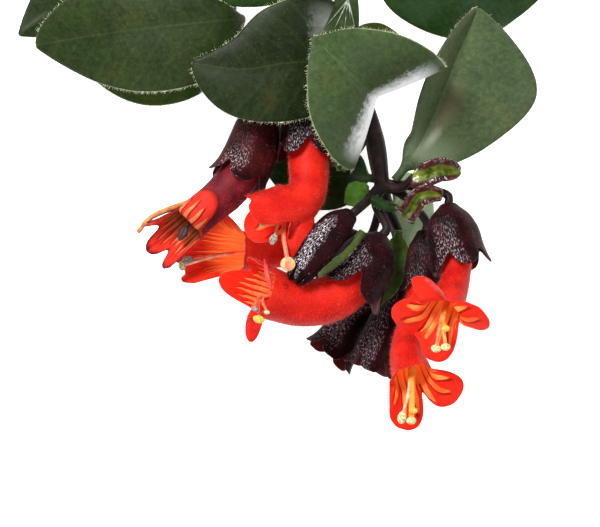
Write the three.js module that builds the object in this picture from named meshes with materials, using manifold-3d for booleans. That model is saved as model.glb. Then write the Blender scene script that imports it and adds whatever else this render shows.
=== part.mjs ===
// A cut shoot of a lipstick plant (Aeschynanthus radicans), lying on a table.
// Units are millimetres and +Z is up. The origin is on the table, under the middle of the shoot's box.
// The shoot's cut end points to +Y and its flower cluster to -Y. Its leaves are broad and folded along the
// midrib. Each flower is a maroon calyx, a red two-lipped corolla in it, and stamens and a style in its throat.
import * as THREE from "three";
import { mergeVertices } from "three/addons/utils/BufferGeometryUtils.js";
import Module from "manifold-3d";

const wasm = await Module();
wasm.setup();

// Driving dimensions
const GAP = 0.3; // between two pieces that touch on the plant
const BLADE = 1.0; // thickness of a fleshy leaf blade
const CALYX_WALL = 0.7;
const PETAL_WALL = 0.7;
const MARGIN_THINNING = 0.35; // share of its thickness that a blade loses at its margin
const TIP_HALF_WIDTH = 0.3; // a leaf's tip
const BLADE_START = 0.17; // share of the blade in which it opens out from its petiole
const MOST_LEAN = 0.7; // share of the way to the midrib that a folded half's upper side leans over
const PETIOLE_RADIUS = 1.1;
const MEETING = 2.5; // length of a flower stalk that runs straight into its calyx
const FILAMENT_RADIUS = 0.38;
const FOOT_RADIUS = 0.9; // where the filaments join
const ANTHER = new THREE.Vector3(1, 0.75, 0.7); // half its length, width and height
const CALYX_FLOOR = 1.2; // the solid bottom of a calyx
const THROAT = 14; // depth of a corolla's open throat
const LEAST_LOBE = 0.5; // how far the rim reaches between two lobes

const LEAF_ROWS = 9;
const LEAF_COLUMNS = 6;
const BELL_SIDES = 20; // four faces for each of five lobes
const LOBE_STEPS = 6; // short strides along a lobe's arc

const material = (color, roughness) => new THREE.MeshStandardMaterial({ color, roughness, metalness: 0 });
const MATERIALS = {
  leaf: material(0x2f4a26, 0.45),
  youngLeaf: material(0x6f8a3a, 0.5),
  stem: material(0x35221f, 0.7),
  calyx: material(0x2a0f14, 0.6),
  petal: material(0xe8261a, 0.55),
  oldPetal: material(0x7a1820, 0.6),
  stamen: material(0xe9d79a, 0.6),
};

// ---- helpers ----

const vector = (point) => new THREE.Vector3(...point);
const line = (points) => new THREE.CatmullRomCurve3(points.map(vector), false, "catmullrom", 0.5);

// A smooth run of numbers, read at 0 to 1.
function profile(values) {
  const curve = new THREE.SplineCurve(values.map((value, i) => new THREE.Vector2(i, value)));
  return (t) => curve.getPoint(t).y;
}

// A stock geometry with its seams merged and each of its vertices moved.
function reshape(stock, place) {
  stock.deleteAttribute("normal");
  stock.deleteAttribute("uv");
  const made = mergeVertices(stock, 1e-4);
  const position = made.getAttribute("position");
  const point = new THREE.Vector3();
  for (let i = 0; i < position.count; i++) {
    point.copy(place(point.fromBufferAttribute(position, i).clone()));
    position.setXYZ(i, point.x, point.y, point.z);
  }
  made.computeVertexNormals();
  return made;
}

function toSolid(geometry) {
  return new wasm.Manifold(
    new wasm.Mesh({
      numProp: 3,
      vertProperties: new Float32Array(geometry.getAttribute("position").array),
      triVerts: new Uint32Array(geometry.index.array),
    }),
  );
}

// Several closed geometries joined into one.
function fuse(geometries) {
  const mesh = geometries.map(toSolid).reduce((a, b) => a.add(b)).getMesh();
  const joined = new THREE.BufferGeometry();
  joined.setAttribute("position", new THREE.BufferAttribute(new Float32Array(mesh.vertProperties), 3));
  joined.setIndex(new THREE.BufferAttribute(new Uint32Array(mesh.triVerts), 1));
  joined.computeVertexNormals();
  return joined;
}

const shoot = new THREE.Group();

function add(name, geometry, kind) {
  const mesh = new THREE.Mesh(geometry, MATERIALS[kind]);
  mesh.name = name;
  shoot.add(mesh);
}

// ---- round stalks ----

// A stalk along a curve, with radii from its start to its end.
function stalk(points, radii, sides = 8, steps = 8) {
  const path = line(points);
  const radius = profile(radii);
  const frames = path.computeFrenetFrames(steps, false);
  return reshape(new THREE.CylinderGeometry(1, 1, 1, sides, steps), (p) => {
    const step = Math.round((p.y + 0.5) * steps);
    const t = step / steps;
    return path
      .getPointAt(t)
      .addScaledVector(frames.normals[step], p.x * radius(t))
      .addScaledVector(frames.binormals[step], -p.z * radius(t));
  });
}

// ---- leaves ----

// A half of a leaf is [width, place, base, tip]: its widest, where that is, from 0.6 (near the base) to 1.6
// (near the tip), and how blunt its two ends are, from 1 (pointed) to 0.4 (round).
function halfWidth([width, place, base, tip], t) {
  return width * Math.sin(Math.PI * t ** place) ** THREE.MathUtils.lerp(base, tip, t);
}

// A leaf with its petiole. spine runs from the stem to the tip, face gives the way the upper side looks,
// fold is how far the two halves stand up from flat, in degrees, and curl bends the margins down.
// Seen from above with the tip up, halves and fold give the left half first.
function leaf(shape) {
  const { spine, face = [[0, 0, 1]], halves, fold = [10, 10] } = shape;
  const { curl = 0.15, petiole = 0.1, blade = BLADE } = shape;
  const path = line(spine);
  const up = line(face.length > 1 ? face : [face[0], face[0]]);
  const radians = fold.map(THREE.MathUtils.degToRad);
  return reshape(new THREE.BoxGeometry(2, 1, 1, LEAF_COLUMNS, LEAF_ROWS, 1), (p) => {
    const t = p.y + 0.5;
    const grown = Math.max(0, (t - petiole) / (1 - petiole));
    const opened = Math.min(1, grown / BLADE_START);
    const tangent = path.getTangentAt(t);
    const side = new THREE.Vector3().crossVectors(tangent, up.getPoint(t)).normalize();
    const normal = new THREE.Vector3().crossVectors(side, tangent);
    const hand = Math.sign(p.x);
    const share = Math.abs(p.x);
    const outline = halves[hand < 0 ? 0 : halves.length - 1];
    const half = halfWidth(outline, grown) + PETIOLE_RADIUS * (1 - grown) ** 4 + TIP_HALF_WIDTH * grown;
    const angle = radians[hand < 0 ? 0 : 1] * opened;
    const out = half * share;
    const thick = THREE.MathUtils.lerp(2 * PETIOLE_RADIUS, blade, opened);
    const lens = p.z * thick * (1 - MARGIN_THINNING * share ** 3);
    const across = out * Math.cos(angle);
    const lean = Math.min(lens * Math.sin(angle), MOST_LEAN * across);
    const place = path
      .getPointAt(t)
      .addScaledVector(side, hand * (across - lean))
      .addScaledVector(normal, out * Math.sin(angle) - curl * out * share * opened + lens * Math.cos(angle));
    place.z = Math.max(place.z, p.z > 0 ? blade : 0);
    return place;
  });
}

// ---- flowers ----

// The lobe that a point of the rim belongs to, and how far it reaches out there.
function lobeAt(lobes, degrees) {
  let best = null;
  for (const lobe of lobes) {
    const away = Math.abs(((degrees - lobe.at + 540) % 360) - 180) / lobe.half;
    const reach = lobe.reach * Math.sqrt(Math.max(0, 1 - away ** 2.4));
    if (!best || reach > best.reach) best = { ...lobe, reach };
  }
  return { ...best, reach: Math.max(LEAST_LOBE, best.reach) };
}

// A bell with a wall, open at its end, between two lengths along a curve. Its rim is drawn out into lobes.
// Angles go round the curve from the side vector. A lobe bends outwards by its flare, in degrees, within a
// share of its length, and its edges spread from 0 (parallel) to 1 (straight out from the curve).
function bell({ path, from, to, radii, side = [0, 0, 1], lobes, wall, floor, rows }) {
  const total = path.getLength();
  const radius = profile(radii);
  const [tubeRows, lobeRows, innerRows] = rows;
  const stations = [{ pole: from }];
  const along = (start, end, i, count) => start + ((end - start) * i) / count;
  for (let i = 0; i <= tubeRows; i++) stations.push({ length: along(from, to, i, tubeRows), inset: 0 });
  for (let i = 1; i <= lobeRows; i++) stations.push({ length: to, share: i / lobeRows, inset: 0 });
  for (let i = lobeRows; i >= 1; i--) stations.push({ length: to, share: i / lobeRows, inset: wall });
  for (let i = 0; i <= innerRows; i++) stations.push({ length: along(to, floor, i, innerRows), inset: wall });
  stations.push({ pole: floor });

  const last = stations.length - 1;
  return reshape(new THREE.SphereGeometry(1, BELL_SIDES, last), (p) => {
    const fromPole = Math.acos(THREE.MathUtils.clamp(p.y, -1, 1)) / Math.PI;
    const station = stations[Math.round(fromPole * last)];
    if (station.pole !== undefined) return path.getPointAt(station.pole / total);
    const t = station.length / total;
    const tangent = path.getTangentAt(t);
    const first = vector(side).addScaledVector(tangent, -vector(side).dot(tangent)).normalize();
    const second = new THREE.Vector3().crossVectors(tangent, first);
    const turn = Math.atan2(p.z, p.x);
    const outwards = (angle) =>
      first.clone().multiplyScalar(Math.cos(angle)).addScaledVector(second, Math.sin(angle));
    const r = radius((station.length - from) / (to - from));
    const out = outwards(turn);
    const place = path.getPointAt(t).addScaledVector(out, r - (station.share ? 0 : station.inset));
    if (station.share) {
      const lobe = lobeAt(lobes, THREE.MathUtils.radToDeg(turn));
      const middle = outwards(THREE.MathUtils.degToRad(lobe.at));
      const fan = middle.lerp(out, lobe.spread ?? 0.6).normalize();
      const flare = THREE.MathUtils.degToRad(lobe.flare);
      const turned = (share) => flare * Math.min(1, share / (lobe.within ?? 1));
      const stride = (lobe.reach * station.share) / LOBE_STEPS;
      for (let i = 0; i < LOBE_STEPS; i++) {
        const angle = turned((station.share * (i + 0.5)) / LOBE_STEPS);
        place.addScaledVector(tangent, Math.cos(angle) * stride);
        place.addScaledVector(fan, Math.sin(angle) * stride);
      }
      const end = turned(station.share);
      place.addScaledVector(fan, -Math.cos(end) * station.inset);
      place.addScaledVector(tangent, Math.sin(end) * station.inset);
    }
    place.z = Math.max(place.z, station.inset ? wall : 0);
    return place;
  });
}

// Lobes all alike, with the first one's middle at an angle.
function evenLobes(count, reach, flare, first = 0) {
  const step = 360 / count;
  return Array.from({ length: count }, (_, i) => ({ at: first + step * i, half: step / 2, reach, flare }));
}

// A stamen or style from the throat to a tip, with the anther or stigma at its end.
function filament(start, middle, tip) {
  const end = vector(tip);
  const way = middle.clone().lerp(end, 0.25);
  const radii = [FILAMENT_RADIUS, FILAMENT_RADIUS, FILAMENT_RADIUS];
  const knob = reshape(new THREE.SphereGeometry(1, 6, 4), (p) => p.multiply(ANTHER).add(end));
  return [stalk([start.toArray(), way.toArray(), tip], radii, 4, 4), knob];
}

// The stamens and the style, joined where they leave the floor of the throat.
function stamens(path, floor, mouth, tips) {
  const total = path.getLength();
  const start = path.getPointAt((floor + GAP + FOOT_RADIUS) / total);
  const middle = path.getPointAt(mouth / total);
  const foot = reshape(new THREE.SphereGeometry(FOOT_RADIUS, 6, 4), (p) => p.add(start));
  return fuse([foot, ...tips.flatMap((tip) => filament(start, middle, tip))]);
}

// A calyx on its own, open and without a flower, or closed as a bud.
function calyx({ axis, radii, lobes, length, floor = CALYX_FLOOR }) {
  const path = line(axis);
  const to = length ?? path.getLength();
  return bell({ path, from: 0, to, radii, lobes, wall: CALYX_WALL, floor, rows: [4, 2, 3] });
}

function corolla({ axis, tube, petals, side, throat = THROAT }) {
  const path = line(axis);
  const to = path.getLength();
  const from = CALYX_FLOOR + GAP;
  const shape = { radii: tube, side, lobes: petals, wall: PETAL_WALL, floor: to - throat, rows: [6, 3, 3] };
  return bell({ path, from, to, ...shape });
}

// The last stretch of a flower's stalk, straight into the calyx that starts at the axis.
function meet(axis) {
  const start = vector(axis[0]);
  const back = start.clone().sub(vector(axis[1])).normalize();
  const point = (distance) => start.clone().addScaledVector(back, distance).toArray();
  return [point(MEETING), point(GAP)];
}

// ---- the leaves ----

const LEAVES = {
  leaf_front_left: {
    spine: [
      [15.1, 21.2, 23.9],
      [12.5, 22, 30],
      [7, 22.5, 35],
      [-1, 22, 37],
      [-12, 20.5, 37],
      [-24, 22.25, 35],
    ],
    face: [[1, 0, 0.3], [0.6, 0, 0.8], [0, 0, 1], [0, 0, 1]],
    halves: [
      [14.5, 0.9, 0.5, 0.6],
      [16.5, 0.55, 0.7, 1],
    ],
    fold: [8, 8],
  },
  leaf_front_folded: {
    spine: [
      [19.5, 19.3, 24.8],
      [21.5, 15.5, 29],
      [21.5, 14, 36],
      [17.5, 17.5, 41.5],
      [12, 23, 43],
      [6, 28.5, 41],
    ],
    face: [[0.7, -0.7, 0], [0.7, -0.7, 0.2], [0.5, -0.5, 0.7], [0, 0, 1], [0, 0, 1]],
    halves: [[20.5, 0.75, 0.5, 1.15]],
    fold: [28, 28],
    curl: 0.05,
  },
  leaf_top_right: {
    spine: [
      [16.7, 46, 20.5],
      [24, 46.5, 22],
      [38, 45.5, 17],
      [51, 45.5, 6],
      [60, 45.25, 0.3],
      [67.9, 45, 0.1],
    ],
    halves: [[17.5, 0.95, 0.45, 0.75]],
  },
  leaf_right: {
    spine: [[27.1, -6.4, 22.9], [29, -4, 23.5], [35.5, 8, 23], [42, 24, 23.5], [47.25, 36.25, 21.5]],
    halves: [
      [10.5, 1, 1.1, 0.8],
      [22.5, 1.45, 0.45, 0.75],
    ],
    fold: [62, 4],
  },
  leaf_top_left: {
    spine: [[11.2, 46.5, 20.5], [6, 46.5, 25], [-6, 47, 26.5], [-22, 47.5, 26], [-38, 48, 23]],
    halves: [[11, 0.8, 0.55, 1]],
  },
  leaf_left: {
    spine: [[-13, 33.2, 18.8], [-11.8, 33.2, 24], [-20, 32.5, 30.5], [-42, 30, 28], [-63.25, 26.75, 17]],
    face: [[0.8, 0, 0.5], [0, 0, 1], [0, 0, 1]],
    halves: [
      [16, 0.8, 0.55, 0.85],
      [13.5, 1.2, 0.9, 0.6],
    ],
    fold: [6, 6],
  },
  leaf_left_back: {
    spine: [[-13.6, 46, 17], [-31, 46.5, 15], [-48, 42, 6], [-59, 35.5, 0.4], [-67.75, 29.5, 0.1]],
    halves: [[13.5, 0.8, 0.5, 0.85]],
  },
  leaf_left_low: {
    spine: [[-13, 25.8, 16.2], [-27, 24.25, 11], [-42, 24.5, 5.5], [-54.5, 24.75, 2]],
    face: [[0, 0.35, 1]],
    halves: [[13.5, 0.8, 0.5, 0.85]],
  },
  leaf_behind_cluster: {
    spine: [[21.2, -6.6, 19], [16, -6, 14], [8, -5.5, 10.5], [0, 0, 8], [-6, 8, 7]],
    halves: [[9, 0.9, 0.5, 0.8]],
  },
  leaf_behind_stem_low: {
    spine: [[18.7, 12.4, 19.3], [16.5, 8, 17.5], [14.5, 2, 16.5], [13, -4.75, 16.5]],
    halves: [[5, 0.8, 0.6, 0.8]],
  },
  leaf_behind_stem_high: {
    spine: [[18, 22.5, 19.4], [20.5, 24.25, 13], [24, 26.5, 7], [29, 28, 3]],
    halves: [[7.5, 0.9, 0.5, 0.8]],
  },
  leaf_under_cluster: {
    spine: [[26, -8.2, 19], [29.5, -10, 12], [31.5, -17, 6.5], [31, -27, 5.5]],
    halves: [[5.5, 0.8, 0.6, 0.9]],
  },
};

const YOUNG_LEAVES = {
  leaf_small: {
    spine: [[27.8, -20.4, 16.4], [27, -26, 16], [25, -33, 17.2], [21.5, -39, 17]],
    halves: [[3.2, 0.8, 0.6, 0.9]],
  },
  bract_left: {
    spine: [[19, -8.8, 21.2], [17.5, -10.5, 22], [14.5, -13, 21.5]],
    halves: [[3.2, 0.8, 0.6, 0.9]],
    blade: 0.7,
  },
  bract_long: {
    spine: [[18.2, -20.6, 33.2], [15, -24.9, 35.6], [7.6, -31, 37.8]],
    halves: [[0.9, 0.8, 0.5, 0.8]],
    blade: 0.7,
  },
  bract_short: {
    spine: [[21.5, -12, 26], [24.5, -13.5, 26], [28.5, -14, 26]],
    halves: [[1, 0.8, 0.5, 0.8]],
    blade: 0.7,
  },
  young_leaf_upper: {
    spine: [[32.1, -5.5, 27.8], [33.5, -6, 28], [38, -4.5, 28.5], [43, -5, 28]],
    halves: [[4, 0.9, 0.35, 0.4]],
    fold: [55, 55],
    petiole: 0.05,
    blade: 1.4,
  },
  young_leaf_lower: {
    spine: [[29.5, -15.5, 26.5], [30.5, -14.5, 28], [32.5, -11.5, 29], [35.5, -10.5, 29], [38.5, -11, 28.5]],
    halves: [[3.6, 0.9, 0.35, 0.4]],
    fold: [60, 60],
    petiole: 0.05,
    blade: 1.4,
  },
};

// ---- the flowers ----
// axis runs from the stalk through the calyx to the mouth. tube gives the corolla's radii along it, petals
// the lobes of its rim, and tips where its stamens and style end. side is where the petals' angles start.

const FLOWERS = {
  left: {
    axis: [
      [-6.5, 15.5, 22.5],
      [-7.5, 7, 24],
      [-10, -2, 26],
      [-14.5, -9, 28],
      [-19.5, -13.5, 29.5],
      [-23, -16.25, 31],
      [-25, -18, 32],
    ],
    calyx: { length: 20, radii: [2, 4.4, 5.6, 6.3, 6.6], lobes: evenLobes(5, 5.5, 25, 0) },
    tube: [1.4, 3.2, 4.4, 5, 5, 4.6, 5],
    petals: [
      { at: 8, half: 42, reach: 12, flare: 165, within: 0.3, spread: 0.3 },
      { at: 95, half: 38, reach: 9, flare: 30 },
      { at: 175, half: 46, reach: 11, flare: 10 },
      { at: 262, half: 45, reach: 10.5, flare: 5 },
    ],
    tips: [[-37.4, -20, 33.5]],
    old: true,
  },
  low_left: {
    axis: [
      [18, -21.5, 11],
      [11, -22.5, 11],
      [4, -23.5, 12],
      [-3, -24.5, 14],
      [-8.5, -25, 16.5],
      [-12.5, -24.75, 19.5],
    ],
    calyx: { length: 16, radii: [2, 4.4, 5.2, 5.4], lobes: evenLobes(5, 4, 20, 0) },
    tube: [1.4, 3.4, 4.2, 4.6, 5.2],
    petals: [
      { at: 0, half: 45, reach: 2, flare: 30 },
      { at: 90, half: 32, reach: 9, flare: 70 },
      { at: 145, half: 35, reach: 14, flare: 25 },
      { at: 200, half: 35, reach: 16, flare: 15 },
      { at: 255, half: 32, reach: 12, flare: 40 },
    ],
    tips: [
      [-26.5, -28.5, 25],
      [-25, -27, 26],
    ],
    throat: 12,
  },
  centre: {
    axis: [
      [6, 13.5, 23],
      [5.25, 7, 25],
      [5, 0.5, 27],
      [5.25, -5.5, 29],
      [4.75, -10, 31],
      [2.25, -13.25, 32.5],
      [-1, -14.5, 33.5],
    ],
    calyx: { length: 9.5, radii: [2, 5, 6.3, 6.6], lobes: evenLobes(5, 7, 14, 35) },
    tube: [1.4, 3.4, 4.6, 5, 4.8, 5.2, 6.4],
    petals: [
      { at: 30, half: 80, reach: 10, flare: 4 },
      { at: 195, half: 55, reach: 11.5, flare: 12 },
      { at: 302, half: 34, reach: 7.5, flare: 85, within: 0.4, spread: 0.8 },
    ],
    tips: [
      [-1.75, -22, 39],
      [0, -28, 40],
    ],
  },
  low_centre: {
    axis: [
      [23.5, -20.75, 24.6],
      [21, -25, 26],
      [18, -30, 27],
      [14, -34.5, 28],
      [8.5, -37.25, 29],
      [2, -37.5, 30],
      [-5.5, -35, 32.5],
    ],
    calyx: { length: 9.5, radii: [2, 5.2, 6.9, 7.3], lobes: evenLobes(5, 8.5, 27, -36) },
    tube: [1.4, 3.8, 5.6, 6, 5.9, 6.1, 6.6],
    petals: [
      { at: 100, half: 45, reach: 7, flare: 8 },
      { at: 184, half: 44, reach: 11, flare: 5, spread: 0.4 },
      { at: 268, half: 24, reach: 8, flare: 110, within: 0.3 },
    ],
    tips: [
      [-8.25, -39.25, 40],
      [-5.25, -40, 40.5],
      [-7.25, -41.75, 39.5],
    ],
  },
  right: {
    axis: [
      [39.9, -13, 27],
      [40.75, -19, 28.5],
      [42, -25, 29.5],
      [42, -30, 32],
      [41, -34.5, 35.5],
      [38.75, -39.5, 39.5],
    ],
    calyx: { length: 9.5, radii: [2, 4.8, 6.2, 6.6], lobes: evenLobes(5, 7.5, 18, 54) },
    tube: [1.4, 3.2, 3.8, 3.6, 4, 5],
    side: [1, 0, 0],
    petals: [
      { at: 122, half: 26, reach: 10, flare: 115, within: 0.5, spread: 0.2 },
      { at: 202, half: 48, reach: 9.5, flare: 92, within: 0.5, spread: 0.9 },
      { at: 274, half: 44, reach: 10.5, flare: 60, spread: 0.8 },
      { at: 18, half: 42, reach: 9.5, flare: 95, within: 0.4, spread: 0.8 },
    ],
    tips: [
      [36.8, -49, 45],
      [39.2, -48.6, 45],
      [39.2, -44, 45],
    ],
  },
  low_right: {
    axis: [
      [34.4, -19.5, 19.5],
      [34.4, -25.75, 20],
      [33.8, -33.25, 20.5],
      [32.2, -40.75, 21.5],
      [30.2, -47, 24],
      [30, -52, 27.5],
      [31, -55.5, 31],
    ],
    calyx: { length: 12.5, radii: [2, 4.2, 4.8, 4.9], lobes: evenLobes(5, 3.5, 12, 0) },
    tube: [1.4, 3.2, 3.8, 4, 4, 4.4, 5],
    side: [1, 0, 0],
    petals: [
      { at: 100, half: 40, reach: 2, flare: 10 },
      { at: 165, half: 32, reach: 3.5, flare: 60 },
      { at: 250, half: 58, reach: 12, flare: 42, spread: 1 },
      { at: 338, half: 38, reach: 9.5, flare: 80, within: 0.5, spread: 1 },
    ],
    tips: [
      [28, -66, 38],
      [30.25, -66, 38],
      [31, -64, 38],
    ],
  },
};

const CALYCES = {
  calyx_bud: {
    axis: [[16, -15.5, 31], [11.75, -19, 33], [6.75, -25, 35], [1.75, -32, 37]],
    radii: [2, 3.9, 4.3, 4.3, 3.6],
    lobes: evenLobes(5, 3.4, -50),
    length: 18,
    floor: 15.5,
  },
  calyx_open_left: {
    axis: [[24.5, -31.5, 6], [22, -36.5, 5], [17.5, -42, 4.4], [13, -47.5, 5]],
    radii: [2, 4, 4.7, 5.4],
    lobes: evenLobes(5, 5.5, 35),
  },
  calyx_open_right: {
    axis: [[28.3, -30, 12.5], [27.3, -36, 12.5], [24.5, -44, 13], [22, -50, 13]],
    radii: [2, 3.9, 4.5, 5],
    lobes: evenLobes(5, 5.5, 35),
  },
};

// ---- the shoot ----

const NODE_LOW = [23.5, -8, 22]; // where most flower stalks leave the stem
const NODE_MIDDLE = [17.5, 21, 22]; // where the two front leaves leave it
const NODE_TOP = [14, 46, 20];
const FORK = [25.5, -15, 16]; // where the stalks of the two open calyces part

add(
  "stem",
  fuse([
    stalk(
      [
        [13, 69.3, 18],
        [13.5, 58, 19],
        NODE_TOP,
        [15.75, 33, 22],
        NODE_MIDDLE,
        [21, 7, 22],
        NODE_LOW,
        [24.5, -10, 22],
      ],
      [2.1, 1.9, 2.3, 1.7, 2.3, 1.6, 2.5, 1.8],
      8,
      14,
    ),
    // side twig behind the left leaves
    stalk(
      [
        [13.5, 56, 19],
        [3, 57, 18],
        [-8, 51, 17],
        [-13, 43, 17],
        [-14, 35, 17],
        [-13, 30, 17],
        [-11.5, 26.5, 17],
      ],
      [1.5, 1.4, 1.3, 1.2, 1.2, 1.1, 1.0],
      7,
      10,
    ),
    // flower stalks
    stalk([NODE_MIDDLE, [10, 18, 19.5], [1, 19.5, 21], ...meet(FLOWERS.left.axis)], [1.2, 1.1, 1.1], 6, 6),
    stalk([NODE_MIDDLE, [12, 20, 21], ...meet(FLOWERS.centre.axis)], [1.2, 1.2, 1.2], 6, 4),
    stalk([NODE_LOW, [20, -12, 24.5], ...meet(CALYCES.calyx_bud.axis)], [1.4, 1.2, 1.2], 6, 4),
    stalk([NODE_LOW, [22, -13, 23], ...meet(FLOWERS.low_centre.axis)], [1.4, 1.3, 1.2, 1.2], 6, 4),
    stalk([NODE_LOW, FORK, [27.5, -23, 9], ...meet(CALYCES.calyx_open_left.axis)], [1.5, 1.3, 1.1], 6, 6),
    stalk([FORK, [28, -21, 13.5], ...meet(CALYCES.calyx_open_right.axis)], [1.2, 1.1, 1.1], 6, 4),
    stalk([NODE_LOW, [22.5, -15.5, 15], ...meet(FLOWERS.low_left.axis)], [1.2, 1.1, 1.1], 6, 5),
    stalk([NODE_LOW, [29, -11, 21], ...meet(FLOWERS.low_right.axis)], [1.4, 1.2, 1.1, 1.1], 6, 4),
    stalk([NODE_LOW, [31, -8.5, 22], ...meet(FLOWERS.right.axis)], [1.3, 1.2, 1.1, 1.1], 6, 4),
    // stalk of the young leaves
    stalk([NODE_LOW, [28, -9, 24.5], [31.4, -6.2, 27]], [1.3, 1.1, 1.0], 6, 3),
  ]),
  "stem",
);
for (const [name, shape] of Object.entries(LEAVES)) add(name, leaf(shape), "leaf");
for (const [name, shape] of Object.entries(YOUNG_LEAVES)) add(name, leaf(shape), "youngLeaf");
for (const [name, flower] of Object.entries(FLOWERS)) {
  const path = line(flower.axis);
  const mouth = path.getLength();
  add(`calyx_${name}`, calyx({ axis: flower.axis, ...flower.calyx }), "calyx");
  add(`corolla_${name}`, corolla(flower), flower.old ? "oldPetal" : "petal");
  add(`stamens_${name}`, stamens(path, mouth - (flower.throat ?? THROAT), mouth, flower.tips), "stamen");
}
for (const [name, shape] of Object.entries(CALYCES)) add(name, calyx(shape), "calyx");

export default shoot;
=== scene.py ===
# A cut shoot of a lipstick plant (Aeschynanthus radicans) lying on a table, seen from straight above.
# The tables hold the shoot's shapes in millimetres, in the CAD frame, and every finished mesh is in metres.
# A real shoot has fleshy waxy leaves, calyces as dark as aubergine under silvery down, and downy red flowers
# with striped yellow throats.
import math
from functools import partial

import bpy
import numpy as np
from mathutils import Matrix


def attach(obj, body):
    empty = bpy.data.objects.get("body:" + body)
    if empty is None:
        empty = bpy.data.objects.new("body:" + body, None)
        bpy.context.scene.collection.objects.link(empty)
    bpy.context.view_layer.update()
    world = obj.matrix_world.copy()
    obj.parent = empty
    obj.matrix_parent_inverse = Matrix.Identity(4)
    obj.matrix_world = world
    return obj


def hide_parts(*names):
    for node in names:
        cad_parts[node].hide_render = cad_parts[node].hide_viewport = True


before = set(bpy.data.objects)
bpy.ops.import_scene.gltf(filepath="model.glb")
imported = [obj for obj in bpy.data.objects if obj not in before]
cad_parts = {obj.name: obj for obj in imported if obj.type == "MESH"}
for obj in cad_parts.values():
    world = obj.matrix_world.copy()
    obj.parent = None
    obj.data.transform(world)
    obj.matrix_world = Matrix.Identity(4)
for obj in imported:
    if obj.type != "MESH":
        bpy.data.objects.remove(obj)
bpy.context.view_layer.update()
bpy.ops.object.select_all(action="DESELECT")

MM = 0.001
# Sizes in mm
LEAF_BLADE = 1.0
LEAF_MARGIN = 0.55
PETIOLE_RADIUS = 1.1
TIP_HALF_WIDTH = 0.3
CALYX_WALL = 0.6
PETAL_WALL = 0.5
CALYX_FLOOR = 1.2  # where a corolla starts in its calyx
GAP = 0.3
THROAT = 14  # how deep in its tube a flower's stamens start
LEAST_LOBE = 0.5
ROOTED = 0.9  # how far a petiole's start sits in the stem
VEIN_STEP = 6.0
MEETING = 2.5  # length of a flower stalk that runs straight into its calyx
GROOVE_DEPTH = 0.15
QUILT_DEPTH = 0.05
WAVE_DEPTH = 0.12
OVARY_LENGTH = 3
HAIR_ROOT = 0.05
BRISTLE_ROOT = 0.2
ON_TABLE = 0.02  # nothing comes closer to the table than this
VOXEL = 0.32
# Shares and steps
VEIN_SLANT = 0.8
BLADE_START = 0.17  # share of a blade in which it opens out from its petiole
LOBE_STRIDES = 12
ASKEW = [0.31, 0.52, 0.8]  # a direction that no hair and no stalk follows
# Each kind of down: its hairs to 1 mm2, their length, how far they lift off, 0 to 1, and their radius
CALYX_DOWN = (1.7, 1.0, 0.7, 0.012)
PETAL_DOWN = (4.2, 0.85, 0.7, 0.018)
STEM_DOWN = (1.6, 0.6, 0.8, 0.018)
TANGLE = 0.3  # how far a down's hairs stray from their way
FRINGE_SPACING = 0.26
FRINGE_RADIUS = 0.038
LEAF_FRINGE = 1.1
YOUNG_FRINGE = 0.5
OUTLINE_TO_SPINE = 2.2  # a leaf's outline is about this many times as long as its spine
# Rows of faces: across or round a piece, along it, and on a bell over its lobes
LEAF_GRID = (22, 36)
YOUNG_GRID = (14, 26)
STALK_END_GRID = (12, 20)
LIP_GRID = (10, 14)
COROLLA_GRID = (64, 22, 12)
CALYX_GRID = (50, 16, 9)
EMPTY_CALYX_GRID = (50, 18, 9)


# ---- curves ----


def unit(v):
    return v / np.maximum(np.linalg.norm(v, axis=-1, keepdims=True), 1e-12)


def smooth_run(padded, share):
    """A smooth curve through all of padded but its two ends, which only steer it, read at 0 to 1."""
    spans = len(padded) - 3
    place = np.clip(np.asarray(share, float), 0, 1) * spans
    index = np.minimum(place.astype(int), spans - 1)
    w = (place - index).reshape(place.shape + (1,) * (padded.ndim - 1))
    before, start, end, after = (padded[index + k] for k in range(4))
    leave = 0.5 * (end - before)
    arrive = 0.5 * (after - start)
    smooth = (2 * start - 2 * end + leave + arrive) * w**3
    return smooth + (-3 * start + 3 * end - 2 * leave - arrive) * w**2 + leave * w + start


def profile(values, t):
    """A smooth run of numbers, read at 0 to 1."""
    return smooth_run(np.pad(np.array(values, float), 1, "edge"), t)


class Line:
    """A smooth curve through points, read by its share of the length."""

    def __init__(self, points):
        points = np.array(points, float)
        self.padded = np.vstack([2 * points[0] - points[1], points, 2 * points[-1] - points[-2]])
        self.shares = np.linspace(0, 1, 1201)
        steps = np.linalg.norm(np.diff(self.along(self.shares), axis=0), axis=1)
        self.lengths = np.concatenate([[0], np.cumsum(steps)])
        self.length = self.lengths[-1]

    def along(self, share):
        return smooth_run(self.padded, share)

    def at(self, t):
        return self.along(np.interp(np.asarray(t, float) * self.length, self.lengths, self.shares))

    def tangent(self, t):
        t = np.asarray(t, float)
        return unit(self.at(np.minimum(t + 1e-3, 1)) - self.at(np.maximum(t - 1e-3, 0)))


def lobe(at, half, reach, flare, **more):
    """A lobe: its middle and half its width round the mouth in degrees, its reach in mm and its flare."""
    return {"at": at, "half": half, "reach": reach, "flare": flare} | more


def five_lobes(reach, flare, first=0, square=2.4):
    """A calyx's lobes, all alike."""
    return [lobe(first + 72 * i, 36, reach, flare, square=square) for i in range(5)]


# ---- the shoot's shapes ----

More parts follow.
